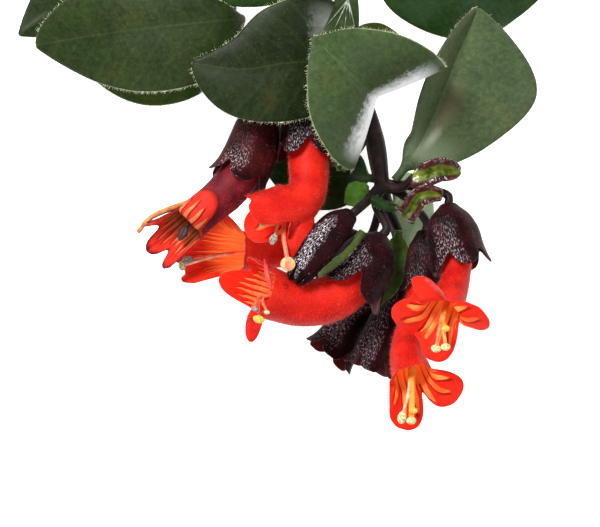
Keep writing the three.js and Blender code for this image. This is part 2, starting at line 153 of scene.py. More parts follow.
LEAVES = {
    "leaf_front_left": {
        "spine": [
            [15.1, 21.2, 23.9], [12.5, 22, 30], [7, 22.5, 35], [-1, 22, 37], [-12, 20.5, 37],
            [-24, 22.25, 35],
        ],
        "face": [[1, 0, 0.3], [0.6, 0, 0.8], [0, 0, 1], [0, 0, 1]],
        "halves": [[14.5, 0.9, 0.5, 0.6], [16.5, 0.55, 0.7, 1]],
        "fold": [8, 8],
    },
    "leaf_front_folded": {
        "spine": [
            [19.5, 19.3, 24.8], [21.5, 15.5, 29], [21.5, 14, 36], [17.5, 17.5, 41.5], [12, 23, 43],
            [6, 28.5, 41],
        ],
        "face": [[0.7, -0.7, 0], [0.7, -0.7, 0.2], [0.5, -0.5, 0.7], [0, 0, 1], [0, 0, 1]],
        "halves": [[20.5, 0.75, 0.5, 1.15]],
        "fold": [28, 28],
        "curl": 0.05,
    },
    "leaf_top_right": {
        "spine": [
            [16.7, 46, 20.5], [24, 46.5, 22], [38, 45.5, 17], [51, 45.5, 6], [60, 45.25, 0.3],
            [67.9, 45, 0.1],
        ],
        "halves": [[17.5, 0.95, 0.45, 0.75]],
    },
    "leaf_right": {
        "spine": [[27.1, -6.4, 22.9], [29, -4, 23.5], [35.5, 8, 23], [42, 24, 23.5], [47.25, 36.25, 21.5]],
        "halves": [[10.5, 1, 1.1, 0.8], [22.5, 1.45, 0.45, 0.75]],
        "fold": [62, 4],
    },
    "leaf_top_left": {
        "spine": [[11.2, 46.5, 20.5], [6, 46.5, 25], [-6, 47, 26.5], [-22, 47.5, 26], [-38, 48, 23]],
        "halves": [[11, 0.8, 0.55, 1]],
    },
    "leaf_left": {
        "spine": [
            [-13, 33.2, 18.8], [-11.8, 33.2, 24], [-20, 32.5, 30.5], [-42, 30, 28], [-63.25, 26.75, 17],
        ],
        "face": [[0.8, 0, 0.5], [0, 0, 1], [0, 0, 1]],
        "halves": [[16, 0.8, 0.55, 0.85], [13.5, 1.2, 0.9, 0.6]],
        "fold": [6, 6],
    },
    "leaf_left_back": {
        "spine": [[-13.6, 46, 17], [-31, 46.5, 15], [-48, 42, 6], [-59, 35.5, 0.4], [-67.75, 29.5, 0.1]],
        "halves": [[13.5, 0.8, 0.5, 0.85]],
    },
    "leaf_left_low": {
        "spine": [[-13, 25.8, 16.2], [-27, 24.25, 11], [-42, 24.5, 5.5], [-54.5, 24.75, 2]],
        "face": [[0, 0.35, 1]],
        "halves": [[13.5, 0.8, 0.5, 0.85]],
    },
    "leaf_behind_cluster": {
        "spine": [[21.2, -6.6, 19], [16, -6, 14], [8, -5.5, 10.5], [0, 0, 8], [-6, 8, 7]],
        "halves": [[9, 0.9, 0.5, 0.8]],
    },
    "leaf_behind_stem_low": {
        "spine": [[18.7, 12.4, 19.3], [16.5, 8, 17.5], [14.5, 2, 16.5], [13, -4.75, 16.5]],
        "halves": [[5, 0.8, 0.6, 0.8]],
    },
    "leaf_behind_stem_high": {
        "spine": [[18, 22.5, 19.4], [20.5, 24.25, 13], [24, 26.5, 7], [29, 28, 3]],
        "halves": [[7.5, 0.9, 0.5, 0.8]],
    },
    "leaf_under_cluster": {
        "spine": [[26, -8.2, 19], [29.5, -10, 12], [31.5, -17, 6.5], [31, -27, 5.5]],
        "halves": [[5.5, 0.8, 0.6, 0.9]],
    },
}

YOUNG_LEAVES = {
    "leaf_small": {
        "spine": [[27.8, -20.4, 16.4], [27, -26, 16], [25, -33, 17.2], [21.5, -39, 17]],
        "halves": [[3.2, 0.8, 0.6, 0.9]],
    },
    "bract_left": {
        "spine": [[19, -8.8, 21.2], [17.5, -10.5, 22], [14.5, -13, 21.5]],
        "halves": [[3.2, 0.8, 0.6, 0.9]],
        "blade": 0.7,
    },
    "bract_long": {
        "spine": [[18.2, -20.6, 33.2], [15, -24.9, 35.6], [7.6, -31, 37.8]],
        "halves": [[0.75, 1.5, 0.9, 0.8]],
        "blade": 0.7,
    },
    "bract_short": {
        "spine": [[21.5, -12, 26], [24.5, -13.5, 26], [28.5, -14, 26]],
        "halves": [[1, 0.8, 0.5, 0.8]],
        "blade": 0.7,
    },
    "young_leaf_upper": {
        "spine": [[32.1, -5.5, 27.8], [33.5, -6, 28], [38, -4.5, 28.5], [43, -5, 28]],
        "halves": [[4.3, 0.9, 0.3, 0.35]],
        "fold": [47, 47],
        "crinkle": 0.3,
        "petiole": 0.05,
        "blade": 1.4,
    },
    "young_leaf_lower": {
        "spine": [
            [29.5, -15.5, 26.5], [30.5, -14.5, 28], [32.5, -11.5, 29], [35.5, -10.5, 29], [38.5, -11, 28.5],
        ],
        "halves": [[3.9, 0.9, 0.3, 0.35]],
        "fold": [52, 52],
        "crinkle": 0.3,
        "petiole": 0.05,
        "blade": 1.4,
    },
}

FLOWERS = {
    "left": {
        "axis": [
            [-6.5, 15.5, 22.5], [-7.5, 7, 24], [-10, -2, 26], [-14.5, -9, 28], [-19.5, -13.5, 29.5],
            [-23, -16.25, 31], [-25, -18, 32],
        ],
        "calyx": {"length": 20, "radii": [2, 4.4, 5.6, 6.3, 6.6], "lobes": five_lobes(5.5, 25)},
        "tube": [1.4, 3.2, 4.4, 5, 5, 4.6, 5],
        "petals": [
            lobe(8, 42, 12, 165, within=0.3, spread=0.3),
            lobe(95, 38, 9, 30),
            lobe(165, 38, 11, 12),
            lobe(232, 36, 11.5, 8, spread=0.5),
        ],
        "tips": [[-37.4, -20, 33.5], [-26.2, -20.4, 33.2]],
        "ends": ["style", "withered"],
        "old": True,
    },
    "low_left": {
        "axis": [
            [18, -21.5, 11], [11, -22.5, 11], [4, -23.5, 12], [-3, -24.5, 14], [-8.5, -25, 16.5],
            [-12.5, -24.75, 19.5],
        ],
        "calyx": {"length": 16, "radii": [2, 4.4, 5.2, 5.4], "lobes": five_lobes(4, 20)},
        "tube": [1.4, 3.4, 4.2, 4.6, 5.2],
        "petals": [
            lobe(0, 45, 2, 30),
            lobe(88, 32, 12.5, 70, square=1.9),
            lobe(145, 35, 14, 25),
            lobe(200, 35, 16, 15),
            lobe(250, 36, 15, 32, square=2.8),
        ],
        "tips": [[-26.5, -28.5, 25], [-25, -27, 26]],
        "ends": ["anthers", "spent"],
        "throat": 12,
    },
    "centre": {
        "axis": [
            [6, 13.5, 23], [5.25, 7, 25], [5, 0.5, 27], [5.25, -5.5, 29], [4.75, -10, 31],
            [2.25, -13.25, 32.5], [-1, -14.5, 33.5],
        ],
        "calyx": {"length": 9.5, "radii": [2, 5, 6.3, 6.6], "lobes": five_lobes(7, 14, 35)},
        "tube": [1.4, 3.4, 4.6, 5, 4.8, 5.2, 6.4],
        "petals": [
            lobe(64, 42, 8.4, 4, square=3.2),
            lobe(18, 46, 10.2, 4, square=3),
            lobe(198, 58, 9.6, 10),
            lobe(302, 30, 3, 60),
        ],
        "tips": [[-3.6, -21.8, 38.6], [0, -28, 40], [-5.8, -17.4, 36]],
        "ends": ["spent", "disc", "spent"],
    },
    "low_centre": {
        "axis": [
            [23.5, -20.75, 24.6], [21, -25, 26], [18, -30, 27], [14, -34.5, 28], [8.5, -37.25, 29],
            [2, -37.5, 30], [-5.5, -35, 32.5],
        ],
        "calyx": {"length": 9.5, "radii": [2, 5.2, 6.9, 7.3], "lobes": five_lobes(8.5, 27, -36)},
        "tube": [1.4, 3.8, 5.6, 6, 5.9, 6.1, 6.6],
        "petals": [
            lobe(100, 45, 7, 8),
            lobe(184, 42, 10.8, 5, spread=0.4, square=1.8),
            lobe(268, 24, 2.5, 50),
        ],
        "tips": [[-8.25, -39.25, 40], [-5.25, -40, 40.5], [-7.25, -41.75, 39.5]],
        "ends": ["small_spent", "small_anthers", "pad"],
    },
    "right": {
        "axis": [
            [39.9, -13, 27], [40.75, -19, 28.5], [42, -25, 29.5], [42, -30, 32], [41, -34.5, 35.5],
            [38.75, -39.5, 39.5],
        ],
        "calyx": {"length": 9.5, "radii": [2, 4.8, 6.2, 6.6], "lobes": five_lobes(7.5, 18, 54)},
        "tube": [1.4, 3.2, 3.8, 3.6, 4, 5],
        "side": [1, 0, 0],
        "petals": [
            lobe(122, 34, 10, 115, within=0.5, spread=0.4, square=2.8, plain=1),
            lobe(202, 50, 9.8, 88, within=0.5, spread=1),
            lobe(274, 44, 10.5, 60, spread=0.8),
            lobe(18, 42, 9.5, 95, within=0.4, spread=0.8),
        ],
        "tips": [[36.8, -49, 45], [39.2, -48.6, 45], [39.2, -44, 45]],
        "ends": ["anthers", "anthers", "stigma"],
    },
    "low_right": {
        "axis": [
            [34.4, -19.5, 19.5], [34.4, -25.75, 20], [33.8, -33.25, 20.5], [32.2, -40.75, 21.5],
            [30.2, -47, 24], [30, -52, 27.5], [31, -55.5, 31],
        ],
        "calyx": {"length": 12.5, "radii": [2, 4.2, 4.8, 4.9], "lobes": five_lobes(3.5, 12)},
        "tube": [1.4, 3.2, 3.8, 4, 4, 4.4, 5],
        "side": [1, 0, 0],
        "petals": [
            lobe(100, 40, 2, 10),
            lobe(165, 32, 3.5, 60),
            lobe(237, 52, 12, 42, spread=1, square=3),
            lobe(334, 40, 9.8, 80, within=0.5, spread=1.1, square=3.2),
        ],
        "tips": [[28.4, -66.2, 38], [30.7, -67, 38], [31.2, -64.5, 38.4]],
        "ends": ["long_anthers", "anthers", "stigma"],
    },
}

CALYCES = {
    "calyx_bud": {
        "axis": [[16, -15.5, 31], [11.75, -19, 33], [6.75, -25, 35], [1.75, -32, 37]],
        "radii": [2, 3.9, 4.3, 4.3, 3.6],
        "lobes": five_lobes(5.8, -36),
        "length": 18,
    },
    "calyx_open_left": {
        "axis": [[24.5, -31.5, 6], [22, -36.5, 5], [17.5, -42, 4.4], [13, -47.5, 5]],
        "radii": [2, 4, 4.7, 5.4],
        "lobes": five_lobes(5.2, 28, square=3.4),
    },
    "calyx_open_right": {
        "axis": [[28.3, -30, 12.5], [27.3, -36, 12.5], [24.5, -44, 13], [22, -50, 13]],
        "radii": [2, 3.9, 4.5, 5],
        "lobes": five_lobes(5.2, 28, square=3.4),
    },
}


# ---- sheets bent to shape ----


def choose(piece):
    bpy.ops.object.select_all(action="DESELECT")
    piece.select_set(True)
    bpy.context.view_layer.objects.active = piece


def start_piece(name, add_primitive, **settings):
    """A new primitive, with nothing else selected."""
    bpy.ops.object.select_all(action="DESELECT")
    add_primitive(**settings)
    bpy.context.object.name = bpy.context.object.data.name = name
    return bpy.context.object


def sheet(name, columns, rows):
    """A flat sheet to bend, with each vertex's place across it and along it, from 0 to 1."""
    cells = {"x_subdivisions": columns, "y_subdivisions": rows, "size": 1, "calc_uvs": False}
    piece = start_piece(name, bpy.ops.mesh.primitive_grid_add, **cells)
    flat = places_of(piece)
    return piece, flat[:, 0] + 0.5, flat[:, 1] + 0.5


def places_of(piece):
    flat = np.zeros(len(piece.data.vertices) * 3)
    piece.data.vertices.foreach_get("co", flat)
    return flat.reshape(-1, 3)


def bend(piece, places_mm):
    piece.data.vertices.foreach_set("co", (places_mm * MM).ravel())
    piece.data.update()


def map_surface(piece, name, across, along):
    """A UV map with its own measures at each vertex."""
    layer = piece.data.uv_layers.new(name=name)
    corner = np.zeros(len(piece.data.loops), int)
    piece.data.loops.foreach_get("vertex_index", corner)
    layer.data.foreach_set("uv", np.column_stack([across[corner], along[corner]]).ravel())


def close_seams(piece):
    """Merges the seam and the poles, and turns the faces outwards again."""
    choose(piece)
    bpy.ops.object.mode_set(mode="EDIT")
    bpy.ops.mesh.select_all(action="SELECT")
    bpy.ops.mesh.remove_doubles(threshold=1e-6)
    bpy.ops.mesh.normals_make_consistent(inside=False)
    bpy.ops.object.mode_set(mode="OBJECT")
    middle = places_of(piece).mean(axis=0)
    faces = piece.data.polygons
    if sum(face.area * float(np.dot(np.array(face.center) - middle, face.normal)) for face in faces) < 0:
        bpy.ops.object.mode_set(mode="EDIT")
        bpy.ops.mesh.flip_normals()
        bpy.ops.object.mode_set(mode="OBJECT")


def set_wall(piece, wall_mm):
    """Keeps each vertex's wall for give_wall, which survives the closing of the seams."""
    group = piece.vertex_groups.new(name="wall")
    thickest = float(wall_mm.max())
    for index, share in enumerate(wall_mm / thickest):
        group.add([index], float(share), "REPLACE")
    return thickest


def modify(piece, kind, **settings):
    """Gives a piece a modifier and applies it."""
    modifier = piece.modifiers.new(kind, kind)
    for setting, value in settings.items():
        setattr(modifier, setting, value)
    bpy.ops.object.modifier_apply(modifier=kind)


def give_wall(piece, thickest_mm, offset):
    """Turns a sheet into a body with a front, a back and a rim, each with its own finish, and rounds it."""
    choose(piece)
    wall = {"thickness": thickest_mm * MM, "offset": offset, "vertex_group": "wall"}
    modify(piece, "SOLIDIFY", **wall, material_offset=1, material_offset_rim=2)
    modify(piece, "SUBSURF", levels=1, render_levels=1)
    piece.vertex_groups.clear()
    places = places_of(piece) / MM
    places[:, 2] = np.maximum(places[:, 2], ON_TABLE)
    bend(piece, places)
    bpy.ops.object.shade_smooth()


def dress(piece, finishes):
    piece.data.materials.clear()
    for finish in finishes:
        piece.data.materials.append(finish)


def join_into(piece, others):
    choose(piece)
    for other in others:
        other.select_set(True)
    bpy.ops.object.join()
    return piece


# ---- hairs ----


def hairs(name, roots, ways, lengths, radius, finish):
    """One bristle, copied to every root and standing the given way."""
    cone = {"vertices": 3, "radius1": 1, "radius2": 0, "depth": 1, "end_fill_type": "NGON"}
    bristle = start_piece(name, bpy.ops.mesh.primitive_cone_add, **cone)
    corners = places_of(bristle)
    corners[:, 2] += 0.5
    facets = [list(facet.vertices) for facet in bristle.data.polygons]
    first = unit(np.cross(ways, ASKEW))
    second = np.cross(ways, first)
    shaped = roots[:, None] + ways[:, None] * (corners[None, :, 2] * lengths[:, None])[..., None]
    for side, way in enumerate([first, second]):
        shaped = shaped + way[:, None] * (corners[None, :, side] * radius)[..., None]
    shaped[..., 2] = np.maximum(shaped[..., 2], ON_TABLE)
    faces = [[i * len(corners) + k for k in facet] for i in range(len(roots)) for facet in facets]
    grown = bpy.data.meshes.new(name)
    grown.from_pydata((shaped.reshape(-1, 3) * MM).tolist(), [], faces)
    bristle.data = grown
    grown.materials.append(finish)
    return bristle


def front_triangles(piece):
    """The triangles of a piece's front or outer side, their corner normals, in mm, and their areas."""
    mesh = piece.data
    mesh.calc_loop_triangles()
    total = len(mesh.loop_triangles)
    corner, finish = np.zeros(total * 3, int), np.zeros(total, int)
    mesh.loop_triangles.foreach_get("vertices", corner)
    mesh.loop_triangles.foreach_get("material_index", finish)
    normals = np.zeros(len(mesh.vertices) * 3)
    mesh.vertices.foreach_get("normal", normals)
    corner = corner.reshape(-1, 3)[finish == 0]
    places = (places_of(piece) / MM)[corner]
    area = np.linalg.norm(np.cross(places[:, 1] - places[:, 0], places[:, 2] - places[:, 0]), axis=1) / 2
    return places, normals.reshape(-1, 3)[corner], area


def grow_down(piece, axis, finish, density, length, lift, radius):
    """Soft down on a piece's outer side, combed along its axis and lifted off it."""
    places, normals, area = front_triangles(piece)
    random = np.random.default_rng(len(area))
    count = int(area.sum() * density)
    picked = random.choice(len(area), count, p=area / area.sum())
    reach, slide = np.sqrt(random.uniform(size=count)), random.uniform(size=count)
    share = np.stack([1 - reach, reach * (1 - slide), reach * slide], axis=1)[..., None]
    roots = (places[picked] * share).sum(axis=1)
    facing = unit((normals[picked] * share).sum(axis=1))
    stations = np.linspace(0, 1, 40)
    stops = Line(axis).at(stations)
    nearest = np.argmin(((roots[:, None] - stops[None]) ** 2).sum(axis=2), axis=1)
    comb = Line(axis).tangent(stations)[nearest]
    ways = unit(facing * lift + comb * (1 - lift) + TANGLE * random.normal(size=roots.shape))
    lengths = length * random.uniform(0.5, 1.2, count)
    join_into(piece, [hairs(piece.name + "_down", roots - HAIR_ROOT * facing, ways, lengths, radius, finish)])


# ---- leaves ----


def half_width(half, grown):
    """How far a leaf's half reaches out: its widest, where that is, and how blunt its two ends are."""
    width, place, base, tip = half
    return width * np.maximum(0, np.sin(np.pi * grown**place)) ** (base + (tip - base) * grown)


def blade_shape(shape, across, t):
    """Where a leaf's middle surface lies. across runs from -1 to 1, and t from the stem to the tip."""
    start, second = (np.array(point, float) for point in shape["spine"][:2])
    spine = Line([start - ROOTED * unit(second - start)] + shape["spine"][1:])
    faces = shape.get("face", [[0, 0, 1]])
    face = Line(faces if len(faces) > 1 else faces * 2)
    petiole, curl = shape.get("petiole", 0.1), shape.get("curl", 0.15)
    fold = np.radians(shape.get("fold", [10, 10]))
    grown = np.maximum(0, (t - petiole) / (1 - petiole))
    opened = np.minimum(1, grown / BLADE_START)
    tangent = spine.tangent(t)
    side = unit(np.cross(tangent, face.along(t)))
    normal = np.cross(side, tangent)
    share = np.abs(across)
    outline = [half_width(half, grown) for half in (shape["halves"][0], shape["halves"][-1])]
    half = np.where(across < 0, *outline) + PETIOLE_RADIUS * (1 - grown) ** 4 + TIP_HALF_WIDTH * grown
    angle = np.where(across < 0, *fold) * opened
    out, along = half * share, t * spine.length
    lift = out * np.sin(angle) - curl * out * share * opened
    # the midrib's groove, the soft quilting between side veins, and the margin's slight waves
    lift = lift - GROOVE_DEPTH * np.exp(-((out / 0.9) ** 2)) * opened
    quilt = np.abs(np.sin(np.pi * (along - VEIN_SLANT * out) / VEIN_STEP))
    lift = lift + QUILT_DEPTH * quilt * 4 * share * (1 - share) * opened
    wave = np.sin(along / 3.1 + across * 1.7) + 0.6 * np.sin(along / 1.7 + 2 * across)
    lift = lift + WAVE_DEPTH * wave * share**3 * opened
    crinkle = np.sin(along * 1.9 + 2 * across) + np.sin(along * 3.1 - across)
    lift = lift + shape.get("crinkle", 0) * crinkle * share**2 * opened
    place = spine.at(t) + side * (np.sign(across) * out * np.cos(angle))[:, None] + normal * lift[:, None]
    place[:, 2] = np.maximum(place[:, 2], LEAF_BLADE / 2)
    return place, out, along, opened


def grow_leaf(name, shape, grid, finishes):
    """A leaf with its petiole: finishes are those of its face, its back and its margin."""
    piece, u, t = sheet(name, *grid)
    across = 2 * u - 1
    places, out, along, opened = blade_shape(shape, across, t)
    map_surface(piece, "Blade", u, t)
    map_surface(piece, "Veins", (along - VEIN_SLANT * out) / 100, out / 100)
    bend(piece, places)
    share = np.abs(across)
    blade = shape.get("blade", LEAF_BLADE)
    flesh = blade + (LEAF_MARGIN - blade) * share**4 + 0.5 * np.exp(-((out / 0.8) ** 2))
    round_stalk = 2 * PETIOLE_RADIUS * np.sqrt(1 - 0.96 * share**2)
    wall = round_stalk + (flesh - round_stalk) * opened
    dress(piece, finishes)
    give_wall(piece, set_wall(piece, wall), 0)
    return piece


def fringe(piece, shape, finish, length):
    """The short bristles that stand out all along a leaf's margin, on both its sides."""
    spread = int(Line(shape["spine"]).length * OUTLINE_TO_SPINE / FRINGE_SPACING)
    random = np.random.default_rng(spread)
    t = random.uniform(0.1, 1, spread)
    hand = np.where(random.uniform(size=spread) < 0.5, -1.0, 1.0)
    rim = blade_shape(shape, hand, t)[0]
    inner = blade_shape(shape, 0.93 * hand, t)[0]
    onward = blade_shape(shape, hand, np.minimum(t + 0.01, 1))[0]
    out = unit(rim - inner)
    ways = unit(out + 0.5 * unit(onward - rim) + 0.4 * random.normal(size=(spread, 3)))
    lengths = length * random.uniform(0.5, 1.25, spread)
    roots = rim - BRISTLE_ROOT * out
    join_into(piece, [hairs(piece.name + "_fringe", roots, ways, lengths, FRINGE_RADIUS, finish)])


# ---- calyces and corollas ----


def lobe_rims(lobes, degrees):
    """At each angle: which lobe it is in, how far the rim reaches, and the place across the lobe, -1 to 1."""
    away = np.array([((degrees - lobe["at"] + 540) % 360 - 180) / lobe["half"] for lobe in lobes])
    longest = np.array([[lobe["reach"]] for lobe in lobes])
    square = np.array([[lobe.get("square", 2.4)] for lobe in lobes])
    reach = longest * np.sqrt(np.maximum(0, 1 - np.abs(away) ** square))
    best, column = reach.argmax(axis=0), np.arange(len(degrees))
    return best, np.maximum(LEAST_LOBE, reach[best, column]), np.clip(away[best, column], -1, 1)


def bell_shape(bell, turn, length, share):
    """Where a bell's wall lies. length runs along its curve, and share from its mouth to a lobe's rim."""
    path, lobes = Line(bell["axis"]), bell["lobes"]
    tangent = path.tangent(length / path.length)
    upright = np.array(bell.get("side", [0, 0, 1]), float)
    first = unit(upright - tangent * (tangent @ upright)[:, None])
    second = np.cross(tangent, first)

    def outwards(angle):
        return first * np.cos(angle)[:, None] + second * np.sin(angle)[:, None]

    out = outwards(turn)
    best, reach, across = lobe_rims(lobes, np.degrees(turn))

    def of_lobe(key, usual):
        return np.array([lobe.get(key, usual) for lobe in lobes], float)[best]

    run = (length - bell["start"]) / (bell["end"] - bell["start"])
    # a calyx swells a little along the middle of each lobe
    swelling = 1 + bell.get("rib", 0) * (1 - across**2) * run * (1.4 - 0.4 * run)
    radius = profile(bell["radii"], run) * swelling
    place = path.at(length / path.length) + out * radius[:, None]
    middle = outwards(np.radians(of_lobe("at", 0)))
    fan = unit(middle + (out - middle) * of_lobe("spread", 0.6)[:, None])
    flare, within = np.radians(of_lobe("flare", 0)), of_lobe("within", 1)
    stride = (reach * share / LOBE_STRIDES)[:, None]
    for i in range(LOBE_STRIDES):
        angle = (flare * np.minimum(1, share * (i + 0.5) / LOBE_STRIDES / within))[:, None]
        place = place + (tangent * np.cos(angle) + fan * np.sin(angle)) * stride
    end = (flare * np.minimum(1, share / within))[:, None]
    outside = fan * np.cos(end) - tangent * np.sin(end)
    # a lobe's rim is a little ruffled
    ruffle = bell.get("ruffle", 0.15) * share**2 * (np.sin(turn * 17 + 3 * share) + 0.7 * np.sin(turn * 31))
    place = place + outside * (ruffle * np.minimum(1, reach / 4))[:, None]
    place[:, 2] = np.maximum(place[:, 2], bell["wall"] / 2)
    streaked = np.where((of_lobe("plain", 0) > 0) & (share > 0), 1, share)
    return place, np.where(share > 0, reach * share, length - bell["end"]), across, streaked


def blow_bell(name, bell, grid, finishes):
    """A thin bell with a closed base and a lobed rim. Its finishes are outside, lining and rim."""
    sides, tube_rows, lobe_rows = grid
    total = 1 + tube_rows + lobe_rows
    piece, u, v = sheet(name, sides, total)
    row = np.rint(v * total)
    turn = 2 * np.pi * u
    length = bell["start"] + (bell["end"] - bell["start"]) * np.clip((row - 1) / tube_rows, 0, 1)
    share = np.clip((row - 1 - tube_rows) / lobe_rows, 0, 1)
    places, from_mouth, across, streaked = bell_shape(bell, turn, length, share)
    path = Line(bell["axis"])
    places[row == 0] = path.at(np.array([bell["start"] / path.length]))
    map_surface(piece, "Flow", u, 0.5 + from_mouth / 100)
    map_surface(piece, "Lobe", 0.5 + across / 2, streaked)
    bend(piece, places)
    dress(piece, finishes)
    thickest = set_wall(piece, bell["wall"] * (1 - 0.4 * share))
    close_seams(piece)
    give_wall(piece, thickest, -1)
    return piece


# ---- stalks, stamens and styles ----


def draw_stalk(name, points, radii, sides=16, step=0.8):
    """A round stalk along a curve, closed at both ends."""
    path = Line(points)
    rows = max(4, round(path.length / step))
    piece, u, v = sheet(name, sides, rows + 2)
    row = np.rint(v * (rows + 2))
    t = np.clip((row - 1) / rows, 0, 1)
    tangent = path.tangent(t)
    first = unit(np.cross(tangent, ASKEW))
    second = np.cross(tangent, first)
    turn = 2 * np.pi * u
    radius = profile(radii, t) * ((row > 0) & (row < rows + 2))
    out = first * np.cos(turn)[:, None] + second * np.sin(turn)[:, None]
    bend(piece, path.at(t) + out * radius[:, None])
    close_seams(piece)
    bpy.ops.object.shade_smooth()
    return piece


def knob(name, centre, way, half_sizes, groove, finish):
    """A small fleshy knob, long along its way, with a groove pressed along it."""
    piece = start_piece(name, bpy.ops.mesh.primitive_uv_sphere_add, segments=20, ring_count=12, radius=1)
    ball = places_of(piece)
    way = unit(np.array(way, float))
    side = unit(np.cross(way, [0, 0, 1.0]))
    top = np.cross(side, way)
    pressed = 1 - groove * np.exp(-((ball[:, 1] / 0.22) ** 2)) * (ball[:, 2] > -0.3)
    shaped = ball * half_sizes
    shaped[:, 2] *= pressed
    bend(piece, np.array(centre, float) + shaped @ np.array([way, side, top]))
    dress(piece, [finish])
    choose(piece)
    bpy.ops.object.shade_smooth()
    return piece


def crown(name, kind, tip, onward):
    """The knobs that a filament or a style ends in, along it or crosswise, and a little above its tip."""
    onward = unit(onward * [1, 1, 0])
    ways = [onward, np.cross(onward, [0, 0, 1.0])]
    return [
        knob(f"{kind}_{name}_{number}", tip + [0, 0, up], ways[crosswise], sizes, groove, finish)
        for number, (up, crosswise, sizes, groove, finish) in enumerate(CROWNS[kind])
    ]


# ---- finishes ----


def linear(hex_colour):
    """An sRGB hex colour as the linear numbers that the shader takes."""
    parts = [int(hex_colour[i : i + 2], 16) / 255 for i in (1, 3, 5)]
    return (*((c / 12.92 if c <= 0.04045 else ((c + 0.055) / 1.055) ** 2.4) for c in parts), 1)


# The output that a node gives where it isn't its first, and a Mix node's sockets for colours. A Map Range
# node reads the range 1 to 2 and gives the range 3 to 4.
OUTPUTS = {"TexCoord": "Object", "NewGeometry": "Normal", "TexWave": "Fac", "Mix": 2}
FACTOR, UNDER, OVER = 0, 6, 7
WAVES = 2 * math.pi / 20  # the scale at which a Wave texture has one wave in each unit
CUT_END = 0.069  # where the stem's cut face starts, in metres
LIT_SIDE = (-0.35, 0.3, 0.887)  # the way that the best lit sides of the down face


def add_node(finish, kind, values=None, links=None, stops=(), output=None, **settings):
    """A node with its settings, its sockets' values, the outputs linked into it and its ramp's stops. It
    gives the output that is read."""
    made = finish.node_tree.nodes.new("ShaderNode" + kind)
    if kind == "Mix":
        made.data_type = "RGBA"
    for setting, value in settings.items():
        setattr(made, setting, value)
    for socket, value in (values or {}).items():
        made.inputs[socket].default_value = value
    for socket, source in (links or {}).items():
        finish.node_tree.links.new(source, made.inputs[socket])
    for index, (place, colour) in enumerate(stops):
        ramp = made.color_ramp.elements
        stop = ramp[index] if index < 2 else ramp.new(place)
        stop.position, stop.color = place, linear(colour)
    return made.outputs[OUTPUTS.get(kind, 0) if output is None else output]


def new_finish(name, values):
    """A finish, its shader with plain values set, and add_node for its own nodes."""
    finish = bpy.data.materials.new(name)
    finish.use_nodes = True
    for socket, value in values.items():
        finish.node_tree.nodes["Principled BSDF"].inputs[socket].default_value = value
    return finish, partial(add_node, finish)


def wire(finish, links):
    """Links outputs into a finish's shader, and gives the finish back."""
    shader = finish.node_tree.nodes["Principled BSDF"]
    for socket, output in links.items():
        finish.node_tree.links.new(output, shader.inputs[socket])
    return finish


def start_skin(name, values, scale, detail, tones):
    """A finish with clouds through it: it, its add_node, the piece's places, the clouds and their tones."""
    finish, add = new_finish(name, values)
    place = add("TexCoord")
    clouds = add("TexNoise", {"Scale": scale, "Detail": detail}, {"Vector": place})
    return finish, add, place, clouds, add("ValToRGB", None, {"Fac": clouds}, tones)


